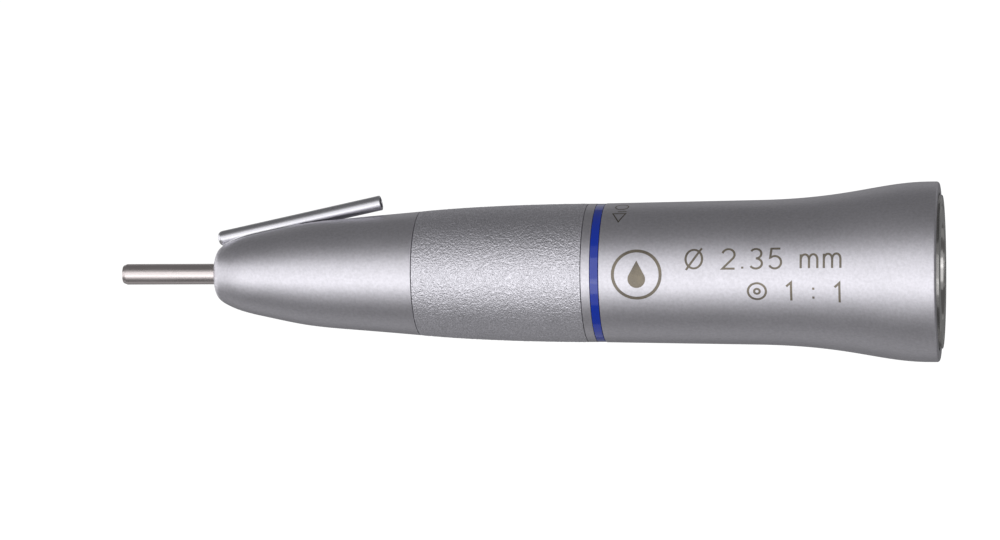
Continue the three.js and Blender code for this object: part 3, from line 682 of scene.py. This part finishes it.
def laser_mark(tint):
    """Oxide that a laser leaves on steel: dark, bronze in places, a little rougher than the sleeve."""
    material, tree, shader = blank_material("laser_mark", 1.0)
    fine = shared(tree, grain_effect(), Size=0.08, Length=1.0)
    patch = shared(tree, smudge_effect(), Size=1.6)["Patch"]
    base = blend(tree, shade(tint, 0.8), shade(tint, 1.25), fine["Shade"])
    base = blend(tree, base, (0.33, 0.285, 0.21, 1.0), times(tree, patch, 0.35))
    surface(tree, shader, base, ramp(tree, patch, 0.0, 1.0, 0.34, 0.42), [(fine["Height"], 0.003)])
    return material


def dull_solid(name, tint, rough, grain, depth):
    """Moulded cage plastic or seal rubber."""
    material, tree, shader = blank_material(name)
    fine = shared(tree, grain_effect(), Size=grain, Length=1.0)
    patch = shared(tree, smudge_effect(), Size=2.0)["Patch"]
    base = blend(tree, shade(tint, 0.85), shade(tint, 1.15), fine["Shade"])
    uneven = ramp(tree, patch, 0.0, 1.0, rough - 0.06, rough + 0.06)
    surface(tree, shader, base, uneven, [(fine["Height"], depth)])
    return material


def finish(slot):
    """The finish of a material slot, made at its first use."""
    made = bpy.data.materials.get(slot + FINISH)
    if made:
        return made
    tints = bpy.context.scene.handpiece_finish
    if slot in METALS:
        return metal(slot, METALS[slot], getattr(tints, METALS[slot].tint))
    makers = {
        "blasted_steel": lambda: blasted_steel(tints.blasted),
        "blue_ring_plastic": lambda: ring_plastic(tints.ring),
        "laser_mark": lambda: laser_mark(tints.mark),
        "cage_plastic": lambda: dull_solid(slot, tints.cage, 0.55, 0.12, 0.002),
        "seal_rubber": lambda: dull_solid(slot, tints.rubber, 0.7, 0.08, 0.003),
    }
    return makers[slot]()


# ---------------------------------------------------------------- pieces
class HANDPIECE_OT_nose_cone(bpy.types.Operator):
    """Make the nose cone: a blunt dome, with a bed for the coolant tube and room for its hose"""

    bl_idname = "handpiece.nose_cone"
    bl_label = "Nose cone"

    def execute(self, context):
        shape = context.scene.handpiece_shape
        outside = nose_curve()
        inside = rounded(
            [
                (NOSE_REAR, NOSE_REAR_RADIUS, shape.edge / MM),
                (NOSE_REAR, NOSE_THREAD_RADIUS),
                (NOSE_REAR - NOSE_THREAD_LENGTH, NOSE_THREAD_RADIUS),
                (NOSE_REAR - NOSE_THREAD_LENGTH, BEARING_RADIUS),
                (BEARING_FRONT, BEARING_RADIUS),
                (BEARING_FRONT, PASSAGE_RADIUS),
                (SEAL_REAR, PASSAGE_RADIUS),
                (SEAL_REAR, SEAL_RADIUS),
                (SEAL_FRONT, SEAL_RADIUS),
                (SEAL_FRONT, MOUTH_RADIUS),
                (MOUTH_FRONT, MOUTH_RADIUS, 0.05),
                outside[3],
                outside[-3],
            ]
        )
        shell = turned(outside[3:-2] + inside[:-2], shape.sides)
        piece("nose_cone_shell", cut(shell, self.rooms()), "casing", "satin_steel", "nose_cone")
        return {"FINISHED"}

    def rooms(self):
        """The tube's bed, a wider gap behind the braze, and the room round the end for the hose."""
        bed, gap = TUBE_RADIUS + 0.02, TUBE_RADIUS + BED_GAP
        first, past = TUBE_LENGTH - HOSE_LENGTH, TUBE_LENGTH - HOSE_LENGTH + 11
        rooms = (
            ([(-1, 0), (-1, bed), (TUBE_LENGTH, bed), (TUBE_LENGTH, 0)], 96),
            (
                [
                    (BRAZE_END, 0),
                    (BRAZE_END, TUBE_RADIUS),
                    (BRAZE_END + 0.5, gap),
                    (TUBE_LENGTH, gap),
                    (TUBE_LENGTH, 0),
                ],
                96,
            ),
            (
                [
                    (first - 0.6, 0),
                    (first - 0.6, TUBE_RADIUS),
                    (first, HOSE_RADIUS),
                    (past, HOSE_RADIUS),
                    (past, 0),
                ],
                120,
            ),
        )
        return [moved(turned(outline, sides), on_tube_line()) for outline, sides in rooms]


def contact_line(count=120):
    """The line round the front of the coolant tube where it meets the nose cone: places, normals of
    the nose and of the tube, and a share of the full fillet that fades out at both ends."""
    curve = np.array(nose_curve())
    along = np.array([math.cos(TUBE_ANGLE), 0, math.sin(TUBE_ANGLE)])
    up = np.array([-math.sin(TUBE_ANGLE), 0, math.cos(TUBE_ANGLE)])
    side = np.array([0.0, 1.0, 0.0])
    start = np.array([TUBE_FRONT, 0, TUBE_HEIGHT])

    def point(s, angle):
        out = math.cos(angle) * side + math.sin(angle) * up
        return start + s * along + TUBE_RADIUS * out, out

    def gap(s, angle):
        p = point(s, angle)[0]
        return math.hypot(p[1], p[2]) - float(np.interp(p[0], curve[:, 0], curve[:, 1]))

    def solve(test, low, high):
        for _ in range(40):
            middle = (low + high) / 2
            low, high = (middle, high) if test(middle) < 0 else (low, middle)
        return (low + high) / 2

    bottom = -math.pi / 2
    deepest = min(np.arange(1.0, TUBE_LENGTH, 0.25), key=lambda s: gap(s, bottom))
    rear = solve(lambda s: gap(s, bottom), deepest, TUBE_LENGTH)
    front = solve(lambda s: gap(deepest - s, bottom), 0.0, deepest)
    first = deepest - front
    half = []
    for i in range(count + 1):
        s = first + (rear - first) * (1 - math.cos(math.pi * i / count)) / 2
        angle = solve(lambda a: gap(s, a), bottom, math.pi / 3) if 0 < i < count else bottom
        half.append((s, angle))
    near = [(s, a) for s, a in half if s < BRAZE_END]
    made = []
    for s, angle in near[:0:-1] + [(s, math.pi - a) for s, a in near]:
        place, tube_normal = point(s, angle)
        slope = (radius_at(curve, place[0] + 0.05) - radius_at(curve, place[0] - 0.05)) / 0.1
        radius = math.hypot(place[1], place[2])
        nose_normal = np.array([-slope, place[1] / radius, place[2] / radius])
        fade = min(1.0, 0.1 + (BRAZE_END - s) / 1.6)
        made.append((place, nose_normal / np.linalg.norm(nose_normal), tube_normal, fade))
    return made, curve, start, along


class HANDPIECE_OT_coolant_tube(bpy.types.Operator):
    """Make the coolant tube and the braze fillet that holds it on the nose cone"""

    bl_idname = "handpiece.coolant_tube"
    bl_label = "Coolant tube"

    def execute(self, context):
        lip, front, blunt = 0.32, -0.35, 0.6
        outline = [
            (front + blunt * (1 - math.sin(a)), lip + (TUBE_RADIUS - lip) * math.cos(a))
            for a in np.linspace(1.57, 0, 12)
        ]
        outline += rounded(
            [
                (TUBE_LENGTH, TUBE_RADIUS, 0.14),
                (TUBE_LENGTH, TUBE_BORE, 0.06),
                (0.9, TUBE_BORE),
                (0.6, lip),
            ],
            8,
        )
        tube = moved(turned(outline, 96), on_tube_line())
        piece("coolant_tube_drawn", tube, "casing", "tube_steel", "coolant_tube")
        self.fillet()
        return {"FINISHED"}

    def fillet(self):
        """A concave bead along the contact line, its feet on the nose and on the tube."""
        line, curve, start, along = contact_line()
        places = np.array([row[0] for row in line])
        bm = bmesh.new()
        rows = []
        for i, (place, nose_normal, tube_normal, fade) in enumerate(line):
            travel = places[min(i + 1, len(line) - 1)] - places[max(i - 1, 0)]
            travel /= np.linalg.norm(travel)
            away = np.cross(travel, nose_normal)
            climb = np.cross(tube_normal, travel)
            away *= 1.0 if away @ tube_normal > 0 else -1.0
            climb *= 1.0 if climb @ nose_normal > 0 else -1.0
            wave = fade * (1 + 0.12 * noise.noise(Vector(place) * 1.3))
            foot = place + BRAZE_ON_NOSE * wave * away
            foot[1:] *= radius_at(curve, foot[0]) / math.hypot(foot[1], foot[2])
            top = place + BRAZE_ON_TUBE * wave * climb
            axis = start + along * float((top - start) @ along)
            top = axis + (top - axis) * TUBE_RADIUS / np.linalg.norm(top - axis)
            belly = place + 0.03 * (nose_normal + tube_normal)
            root = place - 0.07 * (nose_normal + tube_normal)
            row = [
                (1 - t) ** 2 * foot + 2 * (1 - t) * t * belly + t**2 * top
                for t in np.linspace(0, 1, 7)
            ]
            rows.append([bm.verts.new(q * MM) for q in [*row, root]])
        for first, second in zip(rows, rows[1:]):
            bridge(bm, first, second)
        for end in (rows[0], rows[-1]):
            bm.faces.new(end)
        piece("braze_fillet", settled(bm, 60), "casing", "satin_steel", look="braze_metal")


class HANDPIECE_OT_grip_sleeve(bpy.types.Operator):
    """Make the grip sleeve, with its coarse blasted grain raised in the mesh"""

    bl_idname = "handpiece.grip_sleeve"
    bl_label = "Grip sleeve"

    def execute(self, context):
        shape = context.scene.handpiece_shape
        edge = shape.edge / MM
        bore, step = HOUSING_RADIUS + FIT, HOUSING_RADIUS + 0.75
        outside = grip_curve(190)
        inside = rounded(
            [
                (GRIP_REAR, GRIP_RADIUS, edge),
                (GRIP_REAR, step),
                (GRIP_REAR - 1, step),
                (GRIP_REAR - 1, bore),
                (GRIP_FRONT, bore),
                (GRIP_FRONT, outside[0][1], edge),
                outside[2],
                outside[-3],
            ]
        )
        mesh = turned(outside[2:-2] + inside[:-2], GRIP_SIDES)
        self.raise_grain(mesh, shape.grain, shape.grain_size, outside)
        piece("grip_sleeve_blasted", mesh, "casing", "blasted_steel", "grip_sleeve")
        return {"FINISHED"}

    def raise_grain(self, mesh, depth, size, outside):
        """Moves the outside's points in and out by two sizes of noise, fading out at both edges."""
        curve = np.array(outside) * MM
        for vert in mesh.vertices:
            place = vert.co
            radius = math.hypot(place.y, place.z)
            if radius < float(np.interp(place.x, curve[:, 0], curve[:, 1])) - 0.02 * MM:
                continue
            inset = min(place.x - curve[0, 0], curve[-1, 0] - place.x) / (0.25 * MM)
            fade = max(0.0, min(1.0, inset - 0.4))
            height = noise.noise(place / size)
            height += 0.45 * noise.noise(place / (0.47 * size) + Vector((7, 3, 5)))
            scale = 1 + fade * depth * height / radius
            vert.co.y *= scale
            vert.co.z *= scale


class HANDPIECE_OT_marker_rings(bpy.types.Operator):
    """Make the smooth collar behind the grip and the coloured marker ring on it"""

    bl_idname = "handpiece.marker_rings"
    bl_label = "Marker rings"

    def execute(self, context):
        shape = context.scene.handpiece_shape
        edge = shape.edge / MM
        bore, spigot, seat = HOUSING_RADIUS + FIT, HOUSING_RADIUS + 0.7, HOUSING_RADIUS + 0.85
        front, rear = GRIP_REAR - 1 + SEAM, SLEEVE_FRONT - 2 * SEAM
        collar = rounded(
            [
                (front, bore),
                (front, spigot),
                (GRIP_REAR + SEAM, spigot),
                (GRIP_REAR + SEAM, GRIP_RADIUS, edge),
                (RING_FRONT - SEAM, GRIP_RADIUS, edge / 2),
                (RING_FRONT - SEAM, seat),
                (rear, seat),
                (rear, bore),
            ]
        )
        mesh = turned(collar, shape.sides)
        piece("marker_collar_turned", mesh, "casing", "satin_steel", "marker_collar")
        ring = rounded(
            [
                (RING_FRONT - 0.02, seat + FIT),
                (RING_FRONT - 0.02, GRIP_RADIUS - 0.01, edge),
                (RING_REAR, GRIP_RADIUS - 0.01, edge),
                (RING_REAR, seat + FIT),
            ]
        )
        mesh = turned(ring, shape.sides)
        piece("blue_ring_moulded", mesh, "casing", "blue_ring_plastic", "blue_ring")
        return {"FINISHED"}


class HANDPIECE_OT_twist_sleeve(bpy.types.Operator):
    """Make the twist sleeve, which flares to the motor"""

    bl_idname = "handpiece.twist_sleeve"
    bl_label = "Twist sleeve"

    def execute(self, context):
        shape = context.scene.handpiece_shape
        edge = shape.edge / MM
        bore = SEAT_RADIUS + SEAT_GAP
        outside = sleeve_curve()
        inside = rounded(
            [
                (SLEEVE_REAR, SLEEVE_RADIUS, 0.3),
                (SLEEVE_REAR, bore, 0.1),
                (-SEAT_LENGTH, bore),
                (-SEAT_CONE_END, SLEEVE_BORE),
                (CAM_REAR + 0.1, SLEEVE_BORE),
                (CAM_REAR + 0.1, CAM_RADIUS + FIT),
                (SLEEVE_FRONT, CAM_RADIUS + FIT),
                (SLEEVE_FRONT, SLEEVE_FRONT_RADIUS, edge),
                outside[1],
                outside[-1],
            ],
            8,
        )
        mesh = turned(outside[1:] + inside[:-2], shape.sides)
        piece("twist_sleeve_shell", mesh, "sleeve", "satin_steel", "twist_sleeve")
        return {"FINISHED"}


# ---------------------------------------------------------------- laser marks
def flat_ring(bm, centre, radius, line, segments=72):
    """A ring in the flat, of a mean radius and line width."""
    rings = []
    for r in (radius - line / 2, radius + line / 2):
        turns = [math.tau * i / segments for i in range(segments)]
        edge = [(centre[0] + r * math.cos(a), centre[1] + r * math.sin(a), 0) for a in turns]
        rings.append([bm.verts.new(corner) for corner in edge])
    bridge(bm, *rings)


def flat_shape(bm, points):
    """A filled shape in the flat."""
    bm.faces.new([bm.verts.new((x, y, 0)) for x, y in points])


def flat_stroke(bm, points, line, closed=False):
    """A line of even width through points in the flat, with mitred corners."""
    path = [Vector(p) for p in points]
    count, sides = len(path), []
    for i, here in enumerate(path):
        before = here - path[i - 1] if closed or i else path[1] - here
        after = path[(i + 1) % count] - here if closed or i < count - 1 else here - path[i - 1]
        bend = (before.normalized() + after.normalized()).normalized()
        across = Vector((-bend.y, bend.x)) * line / 2 / max(0.35, bend.dot(before.normalized()))
        sides.append([bm.verts.new((*(here + across * s), 0)) for s in (1, -1)])
    for i in range(count if closed else count - 1):
        k = (i + 1) % count
        bm.faces.new((sides[i][0], sides[i][1], sides[k][1], sides[k][0]))


def arc(x, y, width, height, first, last, count=18):
    """Points of part of an ellipse, between two angles in degrees."""
    turns = np.radians(np.linspace(first, last, count))
    return [(x + width * math.cos(a), y + height * math.sin(a)) for a in turns]


def figure(sign):
    """Width and strokes of a figure or sign that is one unit high. A stroke is (points, closed)."""
    arch = arc(0.19, 0.42, 0.19, 0.25, 180, 0, 12)
    five = [(0.53, 1.0), (0.12, 1.0), (0.07, 0.54)] + arc(0.28, 0.31, 0.29, 0.31, 128, -150)
    drawn = {
        "1": (0.32, [([(0.02, 0.78), (0.26, 1.0), (0.26, 0.0)], False)]),
        "2": (0.58, [(arc(0.29, 0.71, 0.28, 0.29, 165, -38) + [(0.02, 0.0), (0.58, 0.0)], False)]),
        "3": (
            0.56,
            [
                (arc(0.27, 0.755, 0.25, 0.245, 150, -90), False),
                (arc(0.27, 0.255, 0.28, 0.255, 90, -150), False),
            ],
        ),
        "5": (0.57, [(five, False)]),
        "m": (
            0.76,
            [
                ([(0.0, 0.0), (0.0, 0.68)], False),
                (arch + [(0.38, 0.0)], False),
                ([(x + 0.38, y) for x, y in arch] + [(0.76, 0.0)], False),
            ],
        ),
        "Ø": (
            0.80,
            [(arc(0.40, 0.5, 0.38, 0.48, 0, 351, 40), True), ([(0.04, -0.06), (0.76, 1.06)], False)],
        ),
        ".": (0.10, [([(0.05, 0.0), (0.05, 0.10)], False)]),
        ":": (0.10, [([(0.05, 0.14), (0.05, 0.26)], False), ([(0.05, 0.62), (0.05, 0.74)], False)]),
        "o": (
            0.90,
            [(arc(0.45, 0.5, 0.45, 0.45, 0, 351, 40), True), (arc(0.45, 0.5, 0.14, 0.14, 0, 340, 18), True)],
        ),
        " ": (0.30, []),
    }
    return drawn[sign]


def flat_figures(bm, text, height, span, line):
    """A line of figures from the origin to the left, spaced out to a span."""
    widths = [figure(sign)[0] * height for sign in text]
    space = (span - sum(widths)) / (len(text) - 1)
    at = -span
    for sign, width in zip(text, widths):
        for points, closed in figure(sign)[1]:
            flat_stroke(bm, [(at + x * height, y * height) for x, y in points], line, closed)
        at += width + space


def wrapped(bm, x, angle, proud):
    """Lays a flat drawing in millimetres on the twist sleeve. Its origin lands at x, and at an angle
    above the side that faces the front, and its y goes up round the sleeve."""
    curve = sleeve_curve()
    low = Vector(tuple(min(v.co[i] for v in bm.verts) for i in range(3)))
    high = Vector(tuple(max(v.co[i] for v in bm.verts) for i in range(3)))
    for axis, spacing in ((0, 0.5), (1, 0.2)):
        for place in np.arange(low[axis] + spacing / 2, high[axis], spacing):
            normal = Vector((axis == 0, axis == 1, 0))
            bmesh.ops.bisect_plane(
                bm,
                geom=bm.verts[:] + bm.edges[:] + bm.faces[:],
                plane_co=normal * place,
                plane_no=normal,
                dist=1e-5,
            )
    for vert in bm.verts:
        along = x + vert.co.x
        radius = radius_at(curve, along)
        turn = angle + vert.co.y / radius_at(curve, x)
        radius += proud / MM
        vert.co = Vector((along, -radius * math.cos(turn), radius * math.sin(turn))) * MM


class HANDPIECE_OT_laser_marks(bpy.types.Operator):
    """Mark the twist sleeve: release arrow, coolant drop, shank size and gear ratio"""

    bl_idname = "handpiece.laser_marks"
    bl_label = "Laser marks"

    def execute(self, context):
        self.proud = context.scene.handpiece_shape.mark
        self.release_arrow()
        self.coolant_drop()
        rear = SLEEVE_REAR - 10.35
        self.figures("mark_shank_size", "Ø 2.35 mm", 2.4, 17.1, rear, math.radians(3.0))
        self.figures("mark_ratio", "o 1 : 1", 2.2, 10.2, rear, math.radians(-22.0))
        return {"FINISHED"}

    def lay(self, name, bm, x, angle):
        wrapped(bm, x, angle, self.proud)
        bmesh.ops.recalc_face_normals(bm, faces=bm.faces)
        mesh = bpy.data.meshes.new(name)
        for face in bm.faces:
            face.smooth = True
            outward = face.calc_center_median()
            if face.normal.dot(Vector((0, outward.y, outward.z))) < 0:
                face.normal_flip()
        bm.to_mesh(mesh)
        bm.free()
        piece(name, mesh, "sleeve", "satin_steel", look="laser_mark")

    def release_arrow(self):
        """A triangle that points at the other marks, with a bar and an open circle above it."""
        bm = bmesh.new()
        flat_stroke(bm, [(0.7, 0.0), (1.4, 1.5), (-0.05, 1.5)], 0.13, closed=True)
        flat_stroke(bm, [(0.45, 1.9), (1.45, 1.9)], 0.13)
        flat_ring(bm, (0.8, 3.15), 0.72, 0.13)
        self.lay("mark_release_arrow", bm, SLEEVE_FRONT + 1.25, math.radians(46))

    def coolant_drop(self):
        """A drop in a ring."""
        bm = bmesh.new()
        flat_ring(bm, (0, 0), 2.65, 0.34)
        tip, belly, centre = 1.55, 0.98, -0.5
        lean = math.asin(belly / (tip - centre))
        outline = [(0.0, tip)]
        for i in range(41):
            a = lean - (math.pi + 2 * lean) * i / 40
            outline.append((belly * math.cos(a), centre + belly * math.sin(a)))
        flat_shape(bm, outline)
        self.lay("mark_coolant_drop", bm, SLEEVE_FRONT + 4.25, math.radians(-1.5))

    def figures(self, name, text, height, span, right, angle):
        """A line of figures whose right end lies at a place along the axis."""
        bm = bmesh.new()
        flat_figures(bm, text, height, span, 0.25)
        self.lay(name, bm, right, angle)


# ---------------------------------------------------------------- rear, bur and inner pieces
class HANDPIECE_OT_motor_coupling(bpy.types.Operator):
    """Make the fixed coupling sleeve: the seat ring for the motor and the socket for its nose"""

    bl_idname = "handpiece.motor_coupling"
    bl_label = "Motor coupling"

    def execute(self, context):
        shape = context.scene.handpiece_shape
        floor = SEAT - SOCKET_DEPTH
        passage, spigot = 3.0, 4.55
        outline = rounded(
            [
                (COUPLING_FRONT, passage),
                (COUPLING_FRONT, spigot),
                (floor - SOCKET_FLOOR, spigot),
                (floor - SOCKET_FLOOR, SOCKET_OUTSIDE),
                (SEAT - 18.6, SOCKET_OUTSIDE),
                (SEAT - 18.6, SOCKET_OUTSIDE - 0.5),
                (SEAT - 17.4, SOCKET_OUTSIDE - 0.5),
                (SEAT - 17.4, SOCKET_OUTSIDE),
                (SEAT - SEAT_CONE_END, SOCKET_OUTSIDE),
                (SEAT - SEAT_LENGTH, SEAT_RADIUS, 0.3),
                (SEAT - 0.27, SEAT_RADIUS, 0.03),
                (SEAT - 0.24, SEAT_RADIUS - 0.12, 0.03),
                (SEAT - 0.15, SEAT_RADIUS - 0.12, 0.03),
                (SEAT - 0.12, SEAT_RADIUS, 0.03),
                (SEAT - 0.05, SEAT_RADIUS, 0.02),
                (SEAT, SEAT_RADIUS - 0.05, 0.02),
                (SEAT, 7.62, 0.03),
                (SEAT - 0.12, 7.56, 0.03),
                (SEAT - 0.12, 7.34, 0.03),
                (SEAT, 7.28, 0.03),
                (SEAT, SOCKET_RADIUS + 0.45, 0.05),
                (SEAT - 0.2, SOCKET_RADIUS + 0.35, 0.05),
                (SEAT - 1.8, SOCKET_RADIUS, 0.3),
                (SEAT - 4.5, SOCKET_RADIUS, 0.05),
                (SEAT - 4.6, SOCKET_RADIUS + 0.35, 0.08),
                (SEAT - 5.4, SOCKET_RADIUS + 0.35, 0.08),
                (SEAT - 5.5, SOCKET_RADIUS, 0.05),
                (floor, SOCKET_RADIUS, 0.2),
                (floor, passage, 0.06),
            ]
        )
        shell = turned(outline, shape.sides)
        drill = turned([(0, 0), (0, 0.65), (4, 0.65), (4, 0)], 48)
        place = Matrix.Translation((-STOP_SETBACK * MM, 0, -4 * MM))
        mesh = cut(shell, [moved(drill, place @ Matrix.Rotation(math.pi / 2, 4, "Y"))])
        piece("motor_coupling_turned", mesh, "casing", "polished_steel", "coupling_sleeve")
        return {"FINISHED"}


class HANDPIECE_OT_drive_dog(bpy.types.Operator):
    """Make the forked dog that the motor's shaft turns"""

    bl_idname = "handpiece.drive_dog"
    bl_label = "Drive dog"

    def execute(self, context):
        shoulder, plug, slot, depth = COUPLING_FRONT - 0.03, 1.88, 1.7, 3.0
        outline = rounded(
            [
                (DOG_FRONT, 0),
                (DOG_FRONT, plug, 0.1),
                (shoulder, plug),
                (shoulder, DOG_RADIUS, 0.1),
                (DOG_REAR - 0.3, DOG_RADIUS, 0.12),
                (DOG_REAR, DOG_RADIUS - 0.3, 0.12),
                (DOG_REAR, 0),
            ]
        )
        body = turned(outline, 128)
        bm = bmesh.new()
        bmesh.ops.create_cube(bm, size=1.0)
        bmesh.ops.scale(bm, vec=Vector((2 * depth, 3 * DOG_RADIUS, slot)) * MM, verts=bm.verts)
        bmesh.ops.translate(bm, vec=(DOG_REAR * MM, 0, 0), verts=bm.verts)
        inner = [e for e in bm.edges if all(v.co.x < DOG_REAR * MM for v in e.verts)]
        bmesh.ops.bevel(bm, geom=inner, offset=0.25 * MM, segments=6, affect="EDGES", profile=0.5)
        mesh = cut(body, [settled(bm)])
        piece("drive_dog_forked", mesh, "spindle", "polished_steel", "drive_dog")
        return {"FINISHED"}


class HANDPIECE_OT_bur_shank(bpy.types.Operator):
    """Make the plain ground shank in the chuck"""

    bl_idname = "handpiece.bur_shank"
    bl_label = "Bur shank"

    def execute(self, context):
        outline = rounded(
            [
                (PIN_TIP, 0),
                (PIN_TIP, PIN_RADIUS - 0.17, 0.05),
                (PIN_TIP + 0.42, PIN_RADIUS, 0.05),
                (PIN_END - 0.14, PIN_RADIUS, 0.12),
                (PIN_END, PIN_RADIUS - 0.14, 0.08),
                (PIN_END, 0),
            ],
            6,
        )
        piece("bur_shank_ground", turned(outline, 128), "bur", "shank_steel", "bur_shank")
        return {"FINISHED"}


class HANDPIECE_OT_inner_works(bpy.types.Operator):
    """Give the chuck, spindle, bearings, seals and release pieces their finishes"""

    bl_idname = "handpiece.inner_works"
    bl_label = "Inner works"

    def execute(self, context):
        for row in frame["record"]["subparts"]:
            for place in frame["nodes"][row["node"]].material_slots:
                place.material = finish(row["material_slot"])
        return {"FINISHED"}


# ---------------------------------------------------------------- studio
LIGHT_DISTANCE = 0.75
LIGHT_LENGTH = 1.8
# Long lights round the axis: name, middle and height in degrees (0 in front, 90 overhead), brightness.
FILLS = (
    ("core_light", -14.0, 8.0, 0.8),
    ("upper_fill", 5.0, 40.0, 1.1),
    ("high_fill", 35.0, 20.0, 0.32),
    ("lower_fill", -45.0, 20.0, 0.42),
    ("under_fill", -115.0, 40.0, 0.22),
    ("back_light", 145.0, 30.0, 0.2),
)
# Upright lights beyond the nose: name, degrees round from the front, share of the side brightness.
SIDES = (("nose_front_light", 60.0, 0.3), ("nose_light", 90.0, 1.0), ("nose_back_light", 120.0, 0.5))
SIDE_SIZE = (0.6, 0.9)


def soft_light(name, away, along, size, strength):
    """A rectangular light that faces the middle of the piece, from a direction away from it."""
    light = bpy.data.lights.new(name, "AREA")
    light.shape, light.size, light.size_y = "RECTANGLE", size[0], size[1]
    light.energy = math.pi * size[0] * size[1] * strength
    lamp = bpy.data.objects.new(name, light)
    back = Vector(away).normalized()
    side = Vector(along)
    turn = Matrix((side, back.cross(side), back)).transposed().to_4x4()
    place = Vector((PIN_TIP / 2 * MM, 0, 0)) + back * LIGHT_DISTANCE
    lamp.matrix_world = Matrix.Translation(place) @ turn
    lamp.visible_camera = False
    bpy.context.scene.collection.objects.link(lamp)


def long_light(name, degrees, height, strength):
    """A light as long as the studio, parallel to the axis and at an angle round it."""
    turn, half = math.radians(degrees), math.radians(height / 2)
    size = (LIGHT_LENGTH, 2 * LIGHT_DISTANCE * math.tan(half))
    soft_light(name, (0, -math.cos(turn), math.sin(turn)), (1, 0, 0), size, strength)


class HANDPIECE_OT_stage(bpy.types.Operator):
    """Make the pale floor, the soft lights, the room's light and the camera"""

    bl_idname = "handpiece.stage"
    bl_label = "Studio"

    def execute(self, context):
        stage = context.scene.handpiece_stage
        self.floor(stage, context.scene.handpiece_finish.floor)
        self.room(context.scene, stage.surround)
        long_light("key_light", -25.0, 20.0, stage.key)
        for name, turn, height, share in FILLS:
            long_light(name, turn, height, share * stage.fill)
        for name, angle, share in SIDES:
            turn = math.radians(angle)
            away = (-math.sin(turn), -math.cos(turn), 0)
            soft_light(name, away, (0, 0, 1), SIDE_SIZE, stage.side * share)
        self.camera(context.scene, stage)
        context.scene.view_settings.view_transform = "Standard"
        return {"FINISHED"}

    def floor(self, stage, tint):
        bm = bmesh.new()
        bmesh.ops.create_grid(bm, x_segments=8, y_segments=8, size=6.0)
        bmesh.ops.translate(bm, vec=(0, 0, -stage.floor_drop), verts=bm.verts)
        mesh = bpy.data.meshes.new("floor")
        bm.to_mesh(mesh)
        bm.free()
        material, tree, shader = blank_material("floor")
        speck = put(tree, "ShaderNodeTexNoise", {"Scale": 40.0, "Detail": 3.0}).outputs[0]
        base = blend(tree, shade(tint, 0.985), shade(tint, 1.0), speck)
        tree.links.new(base, shader.inputs["Base Color"])
        shader.inputs["Roughness"].default_value = 0.9
        shader.inputs["Emission Color"].default_value = (1, 1, 1, 1)
        shader.inputs["Emission Strength"].default_value = 0.9
        mesh.materials.append(material)
        floor = bpy.data.objects.new("floor", mesh)
        bpy.context.scene.collection.objects.link(floor)
        floor.visible_glossy = False
        floor.visible_diffuse = False
        floor.visible_shadow = False

    def room(self, scene, surround):
        """A dim even room that lights the metal, and a white one behind everything in view."""
        world = bpy.data.worlds.new("room")
        scene.world = world
        world.use_nodes = True
        tree = world.node_tree
        back = tree.nodes["Background"]
        seen = put(tree, "ShaderNodeLightPath").outputs["Is Camera Ray"]
        tree.links.new(ramp(tree, seen, 0.0, 1.0, surround, 1.05), back.inputs["Strength"])
        back.inputs["Color"].default_value = (1, 1, 1, 1)

    def camera(self, scene, stage):
        data = bpy.data.cameras.new("camera")
        data.lens, data.sensor_width = stage.lens, 36.0
        data.clip_start, data.clip_end = 0.01, 50.0
        camera = bpy.data.objects.new("camera", data)
        back = Vector((math.sin(stage.azimuth), -math.cos(stage.azimuth), 0))
        target = Vector((-49.66, 0, 0.355)) * MM
        camera.location = target + back * stage.distance
        turn = (-back).to_track_quat("-Z", "Y").to_matrix().to_4x4()
        camera.rotation_euler = (turn @ Matrix.Rotation(-stage.roll, 4, "Z")).to_euler()
        scene.collection.objects.link(camera)
        scene.camera = camera


# ---------------------------------------------------------------- sidebar
PIECES = (
    HANDPIECE_OT_inner_works,
    HANDPIECE_OT_nose_cone,
    HANDPIECE_OT_coolant_tube,
    HANDPIECE_OT_grip_sleeve,
    HANDPIECE_OT_marker_rings,
    HANDPIECE_OT_twist_sleeve,
    HANDPIECE_OT_laser_marks,
    HANDPIECE_OT_motor_coupling,
    HANDPIECE_OT_drive_dog,
    HANDPIECE_OT_bur_shank,
    HANDPIECE_OT_stage,
)
SETTINGS = {
    "handpiece_shape": HandpieceShape,
    "handpiece_finish": HandpieceFinish,
    "handpiece_stage": HandpieceStage,
}


class HANDPIECE_PT_sidebar(bpy.types.Panel):
    """Pieces and settings of the handpiece"""

    bl_label = "Handpiece"
    bl_space_type = "VIEW_3D"
    bl_region_type = "UI"
    bl_category = "Handpiece"

    def draw(self, context):
        for name, group in SETTINGS.items():
            box = self.layout.box()
            for key in group.__annotations__:
                box.prop(getattr(context.scene, name), key)
        for operator in PIECES:
            self.layout.operator(operator.bl_idname)


def register():
    for kind in (*SETTINGS.values(), *PIECES, HANDPIECE_PT_sidebar):
        bpy.utils.register_class(kind)
    for name, group in SETTINGS.items():
        setattr(bpy.types.Scene, name, PointerProperty(type=group))


def unregister():
    for name in SETTINGS:
        delattr(bpy.types.Scene, name)
    for kind in reversed((*SETTINGS.values(), *PIECES, HANDPIECE_PT_sidebar)):
        bpy.utils.unregister_class(kind)


def main():
    register()
    for operator in PIECES:
        group, name = operator.bl_idname.split(".")
        getattr(getattr(bpy.ops, group), name)()


if __name__ == "__main__":
    main()
